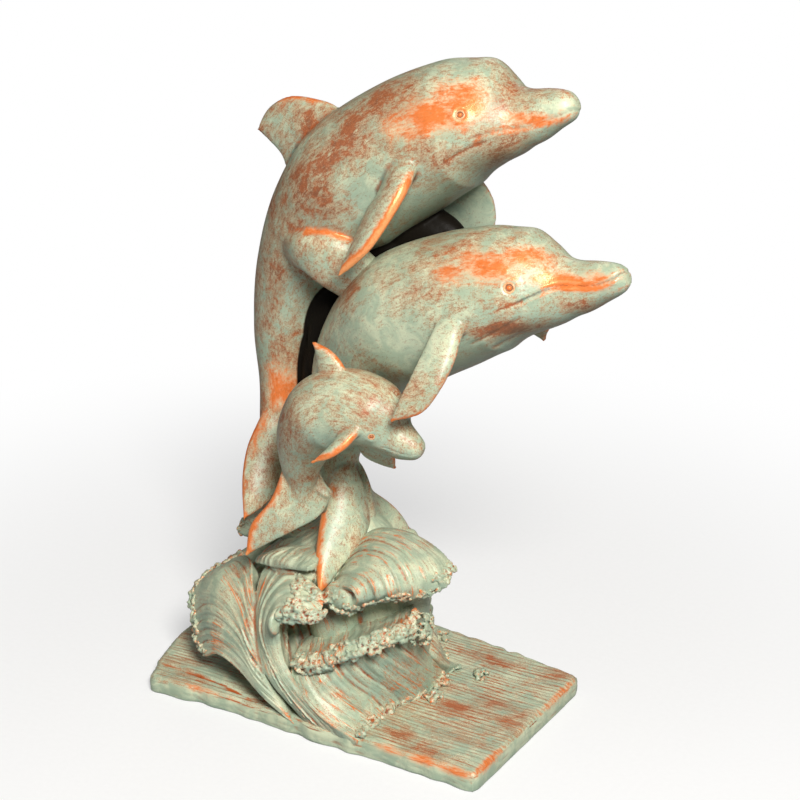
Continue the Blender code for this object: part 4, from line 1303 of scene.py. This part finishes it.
def patina(name, streaks, rust, copper, teal, grooves, lines=0.0):
    """Verdigris over copper: rubbed bright on the edges, rust in patches, dark in creases, painted light and
    shade.

    streaks stretches the scratches along the grain; teal sets how much painted shade and clouds turn it
    blue;
    the other values set how much there is of each, and lines how strongly thin worn ridges follow the grain.
    """
    p = Paint(name)
    place = p.add("ShaderNodeTexCoord").outputs["Object"]
    grain = p.reading("grain", True)
    edge, crease, hollow = p.reading("edge"), p.reading("crease"), p.reading("hollow")
    facing, rub, stain = p.reading("facing"), p.reading("rub"), p.reading("stain")

    clouds = p.noise(place, 19.0, 2.5, 0.5)
    zones = p.noise(p.stretch(place, (1.0, 1.0, 0.7)), 34.0, 3.0, 0.55, 0.8)
    patches = p.noise(place, 75.0, 5.0, 0.68, 0.6)
    mottle = p.noise(place, 210.0, 4.0, 0.75, 0.3)
    speckle = p.noise(place, 560.0, 3.0, 0.7)
    grit = p.noise(place, 1500.0, 2.0, 0.65)
    scratches = p.noise(p.stretch(grain, streaks), 1.0, 6.0, 0.76, 0.6)
    fine = p.noise(p.stretch(grain, tuple(3.3 * s for s in streaks)), 1.0, 4.0, 0.72, 0.4)

    # The pale verdigris, deeper teal in the creases; painted shade makes it bluer underneath and in the
    # hollows.
    body = p.mix(p.step(patches, 0.36, 0.64), SAGE, CREAM)
    shade = p.total(-0.14, (facing, -0.75), (hollow, 0.45), (clouds, 1.0))
    body = p.mix(p.step(shade, 0.0, 1.1, 0.0, teal), body, TEAL)
    body = p.mix(p.step(p.total(crease, (hollow, 0.35)), 0.35, 1.8, 0.0, 0.75), body, DEEP_TEAL)

    # Rust: a thin film, then flecks and stipple, and more of it in the grooves; painted shade underneath.
    worn = p.total(
        0.045 * (rust - 1) - 0.19, (scratches, 0.38), (fine, 0.20), (patches, 0.26), (mottle, 0.16),
        (grit, 0.10), (zones, 0.28), (stain, 0.13))
    body = p.mix(p.step(worn, 0.46, 0.62, 0.0, 0.50), body, FILM)
    body = p.mix(p.step(p.total(worn, (grit, 0.16)), 0.555, 0.67, 0.0, 0.28), body, RUST)
    flecks = p.step(worn, 0.570, 0.65, 0.0, 0.78)
    # Dark or bright rust at random, with painted light: brighter on faces that look up.
    rust_with_top_light = p.mix(p.step(p.total(mottle, (facing, 0.16)), 0.36, 0.62), DARK_RUST, RUST)
    body = p.mix(flecks, body, rust_with_top_light)
    stipple = p.total(0.0, (grit, 0.7), (worn, 0.6), (fine, 0.6))
    body = p.mix(p.step(stipple, 0.94, 1.13, 0.0, 0.46), body, DARK_RUST)
    # Painted shade: dark olive on faces that look down.
    body = p.mix(p.step(facing, -0.25, -0.85, 0.0, 0.60), body, UNDERSIDE_SHADE)
    wet = p.step(p.sum("ADD", scratches, patches), 0.80, 1.12)
    groove = p.sum("MULTIPLY", p.step(crease, 0.15, 1.3), wet)
    body = p.mix(p.sum("MULTIPLY", groove, grooves), body, rust_with_top_light)

    # Copper where the finish is rubbed through, on edges, marked places and threads along the grain.
    # A peach halo round the rubbed places: thin patina over copper, and partly a painted highlight tint.
    body = p.mix(p.step(p.total(rub, (patches, 0.4)), 0.3, 1.2, 0.0, 0.7), body, PEACH)
    rubbed = p.total(
        -1.62, (rub, 0.86), (edge, 0.30 * copper), (scratches, 1.3), (patches, 0.9), (fine, 0.9))
    if lines:
        flow = p.noise(p.stretch(grain, (14.0, 190.0, 1.0)), 1.0, 3.0, 0.55, 0.5)
        thread = p.step(p.sum("ABSOLUTE", p.sum("SUBTRACT", flow, 0.5)), 0.0, 0.040, 1.0, 0.0)
        # More threads on faces that look up: partly painted light, for the lit sides of the ridges.
        thread = p.sum("MULTIPLY", thread, p.step(p.total(zones, (facing, 0.12)), 0.46, 0.66))
        rubbed = p.total(rubbed, (thread, lines))
    copper_share = p.step(rubbed, 0.20, 0.85, 0.0, 0.95)
    copper_tone = p.mix(p.step(rubbed, 0.75, 1.25), COPPER, BRIGHT_COPPER)
    copper_tone = p.mix(p.step(fine, 0.46, 0.72, 0.0, 0.45), copper_tone, RUST)
    body = p.mix(copper_share, body, copper_tone)

    # Near black in the deepest pits, and painted shade where the skin is marked dark:
    # the pads and the wave's shaded places.
    body = p.mix(p.step(p.total(crease, (speckle, 0.5)), 1.6, 3.2, 0.0, 0.85), body, SHADE)
    dark = p.step(p.reading("dark"), 0.1, 0.9)
    body = p.mix(dark, body, SHADE)

    height = p.total(0.0, (speckle, 0.35), (fine, 0.5), (grit, 0.12), (flecks, -0.25))
    if lines:
        height = p.total(height, (thread, 0.9), (flow, 3.2))
    bump = p.add("ShaderNodeBump", {"Strength": 0.5, "Distance": 0.0006, "Height": height})
    rough = p.step(p.total(speckle, (flecks, 0.3)), 0.3, 0.9, 0.33, 0.50)
    return p.surface(p.add("ShaderNodeBsdfPrincipled", {
        "Base Color": body,
        "Metallic": p.sum("MULTIPLY", copper_share, 0.25),
        "Roughness": p.total(rough, (copper_share, -0.05)),
        # Where shade is painted, the shine is turned down with it.
        "Specular IOR Level": p.total(0.5, (dark, -0.45)),
        "Normal": bump.outputs[0],
    }))


def eye_finish():
    """The same verdigris, darker in the groove round the ball and rubbed on the ball and the lid."""
    p = Paint("eye patina")
    place = p.add("ShaderNodeTexCoord").outputs["Object"]
    speckle = p.noise(place, 500.0, 4.0, 0.7)
    body = p.mix(p.step(speckle, 0.35, 0.7), PEACH, FILM)
    body = p.mix(p.step(p.sum("ADD", p.reading("edge"), speckle), 0.4, 1.4, 0.0, 0.8), body, COPPER)
    ball = p.mix(p.step(speckle, 0.4, 0.6), RUST, COPPER)
    body = p.mix(p.step(p.reading("rub"), 0.3, 0.8, 0.0, 0.9), body, ball)
    body = p.mix(p.step(p.reading("dark"), 0.25, 0.9, 0.0, 0.8), body, DARK_RUST)
    rough = p.step(speckle, 0.2, 0.8, 0.28, 0.42)
    return p.surface(p.add("ShaderNodeBsdfPrincipled", {"Base Color": body, "Roughness": rough}))


# The figurine, put together

BODIES = {
    "upper_dolphin": Body(
        "upper_dolphin", mm(UPPER_SPINE), UPPER_GIRTH, UPPER_HEAD, UPPER_LEAN, slim=UPPER_TAIL_SLIM),
    "lower_dolphin": Body("lower_dolphin", mm(LOWER_SPINE), LOWER_GIRTH, LOWER_HEAD, LOWER_LEAN),
    "calf": Body("calf", mm(CALF_SPINE), CALF_GIRTH, CALF_HEAD, CALF_LEAN, CALF_BEAK_SWELL),
}

# Where each dolphin is rubbed bright, with a painted highlight on the lower one's brow:
# place and radii in millimetres, and how strongly.
RUBS_AND_HIGHLIGHTS = {
    "upper_dolphin": [
        ((50, -8, 366), (22, 18, 10), 1.05), ((66, -4, 380), (22, 18, 9), 1.0),
        ((68, -3, 373), (18, 14, 9), 1.1), ((32, -10, 358), (16, 18, 10), 0.7),
        ((100, 12, 367), (22, 12, 4.5), 0.85), ((-60, 8, 180), (12, 22, 16), 0.95),
        ((-72, 0, 152), (9, 22, 14), 0.6)],
    "lower_dolphin": [
        ((96, -24, 293), (24, 18, 9), 0.95), ((114, -16, 299), (18, 16, 7), 0.9),
        ((76, -30, 288), (16, 16, 8), 0.7), ((138, -14, 289), (24, 14, 5), 1.1),
        # The last mark, on the brow, is a painted highlight: a peach tint where the key light's glint falls.
        ((152, -8, 293), (12, 12, 4), 0.7), ((126, -16, 295), (14, 12, 9), 0.55)],
    "calf": [((-16, -52, 150), (10, 18, 16), 0.15)],
}

# Where rust lies thickest on each dolphin: place and radii in millimetres, and how strongly.
STAINS = {
    "upper_dolphin": [
        ((-4, -6, 346), (14, 24, 20), 1.0), ((-24, -8, 330), (16, 24, 18), 0.7),
        ((-20, -12, 308), (26, 20, 16), 0.9), ((-46, 0, 300), (18, 22, 26), 0.6),
        ((-50, 21, 350), (26, 12, 26), 0.7), ((28, 0, 368), (30, 24, 12), 0.6),
        ((96, 22, 380), (20, 12, 5), 0.5), ((46, -12, 346), (26, 16, 12), 0.6),
        ((-66, 0, 240), (18, 22, 34), 0.6), ((-54, 10, 200), (14, 22, 30), 0.7),
        ((-74, 4, 150), (20, 24, 26), 0.5), ((80, -4, 350), (34, 14, 12), 0.4)],
    "lower_dolphin": [
        ((66, -16, 296), (26, 18, 9), 0.6), ((6, -17, 262), (18, 20, 14), 0.9),
        ((112, -28, 260), (30, 14, 6), 1.9), ((146, -12, 276), (22, 14, 5), 1.0),
        ((0, -20, 128), (18, 18, 32), 0.3), ((74, -60, 232), (22, 12, 26), 0.8),
        ((134, -14, 302), (14, 14, 6), 0.8), ((62, -30, 276), (34, 14, 16), 0.25)],
    "calf": [
        ((20, -60, 214), (22, 16, 12), 0.4), ((-12, -56, 196), (14, 18, 24), 0.8),
        ((-12, -50, 150), (14, 18, 22), 0.5), ((56, -54, 196), (14, 12, 10), 0.6),
        ((24, -54, 206), (50, 30, 18), 0.5)],
}

# Where each dolphin stays clean.
CLEAN = {
    "upper_dolphin": [
        ((50, 60, 290), (26, 18, 32), 1.3), ((118, 16, 373), (9, 12, 7), 1.5),
        ((20, -8, 318), (14, 14, 12), 0.9)],
    "lower_dolphin": [((50, -36, 246), (40, 26, 16), 0.8), ((164, -4, 292), (8, 10, 8), 0.8)],
    "calf": [((30, -50, 190), (26, 24, 9), 0.7)],
}

# How finely each piece is cast.
VOXELS = {
    "upper_dolphin": 0.00115, "lower_dolphin": 0.00105, "calf": 0.0008, "left_wave": 0.00074,
    "right_wave": 0.00078, "wave_heap": 0.0012, "far_wave": 0.0013, "near_foam": 0.00068, "far_foam": 0.0010,
}

# The finish of each piece, whose values are explained in patina.
DOLPHIN_PATINAS = {
    "upper_dolphin": patina("upper dolphin patina", (95.0, 190.0, 190.0), 1.35, 0.6, 0.65, 0.6),
    "lower_dolphin": patina("lower dolphin patina", (80.0, 200.0, 200.0), 0.95, 0.6, 0.7, 0.35),
    "calf": patina("calf patina", (120.0, 260.0, 260.0), 1.1, 0.6, 0.7, 0.6),
}
WATER_PATINA = patina("water patina", (60.0, 420.0, 420.0), 0.2, 1.0, 0.95, 1.0, 0.62)
FOAM_PATINA = patina("foam patina", (260.0, 260.0, 260.0), 0.2, 0.6, 1.0, 1.0)
BASE_PATINA = patina("base patina", (26.0, 420.0, 300.0), 0.85, 0.9, 0.6, 1.6)
EYE_PATINA = eye_finish()


def build_dolphins():
    """The three dolphins and their eyes. The lower adult's dorsal fin is cast with the upper one."""
    for name, body in BODIES.items():
        family = name.split("_")[0]
        fins = [fin for fin in FINS if fin.startswith(family) and fin != "lower_dorsal"]
        if name == "upper_dolphin":
            fins.append("lower_dorsal")
        made, skin, face = dolphin(body, fins)
        finish_piece(made, DOLPHIN_PATINAS[name])
        finish_piece(eyes(f"{name}_eyes", skin, body, face), EYE_PATINA)


def build_water():
    """The wave on each side: its tongues, its foam and, on the near side, the heap inside it."""
    tree = bead_tree()
    for side, far in (("near", False), ("far", True)):
        waters = tongues(far)
        beads = [foam(w, tree, WATER_PATINA) for w in waters if TONGUES[w.name][4]]
        if not far:
            beads += crest_foam(tree, WATER_PATINA)
        froth = cast(f"{side}_foam", beads, VOXELS[f"{side}_foam"], 1)
        skin = Skin(froth)
        roughen(skin, 0.0016, 0.0007)
        skin.paint_age(0.00010, 0.0009)
        finish_piece(froth, FOAM_PATINA)
        pieces = {"far_wave": (FAR_SIDE, [])} if far else NEAR_PIECES
        for name, (members, pads) in pieces.items():
            parts = [w.made for w in waters if w.name in members]
            parts += [pad("wave_pad", *mm(rows)) for rows in pads]
            if name == "wave_heap":
                parts.append(heap())
            made = cast(name, parts, VOXELS[name], 2)
            paint_water(made, waters, far)
            finish_piece(made, WATER_PATINA)


build_dolphins()
build_water()
finish_piece(base(), BASE_PATINA)
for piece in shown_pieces():
    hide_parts("dolphin_figurine")


# Studio

# The camera: what it looks at, from how far, from which side and height in degrees, and its lens.
CAMERA_TARGET = (0.0201, 0.0116, 0.187)
CAMERA_DISTANCE = 1.4
CAMERA_AROUND, CAMERA_ABOVE = 30, 23
CAMERA_LENS = 108.62

# Lamps: place, size, watts and tint. All point at the middle of the figurine.
LAMPS = {
    "key": ((0.95, -1.05, 1.35), 0.55, 45.0, (1.0, 0.98, 0.94)),
    "fill": ((-1.3, -0.9, 0.8), 1.0, 2.0, (0.97, 0.985, 1.0)),
    "back": ((-0.4, 1.3, 1.1), 0.8, 2.0, (1.0, 1.0, 1.0)),
}
LAMP_TARGET = (0.0, 0.0, 0.2)
ROOM_STRENGTH = 0.10
FLOOR_HALF = 6


def floor():
    """A pale floor that keeps the figurine's shadow and fades to white round it."""
    corners = [(x * FLOOR_HALF, y * FLOOR_HALF, 0) for x, y in ((-1, -1), (1, -1), (1, 1), (-1, 1))]
    made = placed("floor", plain_mesh("floor", corners, [(0, 1, 2, 3)]))
    p = Paint("pale floor")
    place = p.add("ShaderNodeTexCoord").outputs["Object"]
    length = p.add("ShaderNodeVectorMath", {0: place}, operation="LENGTH")
    paper = p.noise(place, 300.0, 3.0, 0.5)
    seen = p.add("ShaderNodeLightPath").outputs["Is Camera Ray"]
    tone = p.mix(p.step(paper, 0.2, 0.8), (0.86, 0.86, 0.86, 1), (0.89, 0.89, 0.89, 1))
    pale = p.add("ShaderNodeBsdfDiffuse", {"Color": p.mix(seen, (0.42, 0.42, 0.42, 1), tone)})
    white = p.add("ShaderNodeEmission", {"Strength": 1.0})
    fade = p.sum("MULTIPLY", p.step(length.outputs["Value"], 0.16, 0.55, 0.5, 1.0), seen)
    blend = p.add("ShaderNodeMixShader", {0: fade, 1: pale.outputs[0], 2: white.outputs[0]})
    made.data.materials.append(p.surface(blend))
    made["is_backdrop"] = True


def lamp(name, place, size, watts, tint):
    """A round soft lamp that points at the figurine."""
    data = bpy.data.lights.new(name, "AREA")
    data.shape = "DISK"
    data.size, data.energy, data.color = size, watts, tint
    made = placed(name, data)
    made.location = place
    made.rotation_euler = (Vector(LAMP_TARGET) - Vector(place)).to_track_quat("-Z", "Y").to_euler()


def room():
    """A dim pale room for the light, which the camera sees as white."""
    world = bpy.data.worlds.new("pale room")
    bpy.context.scene.world = world
    world.use_nodes = True
    graph = Graph(world.node_tree)
    dim = graph.add("ShaderNodeBackground", {"Color": (1.0, 0.99, 0.97, 1), "Strength": ROOM_STRENGTH})
    white = graph.add("ShaderNodeBackground", {"Color": (1, 1, 1, 1), "Strength": 1.0})
    seen = graph.add("ShaderNodeLightPath").outputs["Is Camera Ray"]
    blend = graph.add("ShaderNodeMixShader", {0: seen, 1: dim.outputs[0], 2: white.outputs[0]})
    graph.add("ShaderNodeOutputWorld", {"Surface": blend.outputs[0]})


def camera():
    """The camera that stands where the photo was taken from."""
    data = bpy.data.cameras.new("camera")
    data.lens, data.sensor_width = CAMERA_LENS, 36.0
    made = placed("camera", data)
    around, above = math.radians(CAMERA_AROUND), math.radians(CAMERA_ABOVE)
    level = math.cos(above)
    away = Vector((math.sin(around) * level, -math.cos(around) * level, math.sin(above)))
    made.location = Vector(CAMERA_TARGET) + CAMERA_DISTANCE * away
    made.rotation_euler = (-away).to_track_quat("-Z", "Y").to_euler()
    bpy.context.scene.camera = made


floor()
for name, settings in LAMPS.items():
    lamp(name, *settings)
room()
camera()
bpy.context.scene.view_settings.view_transform = "Standard"
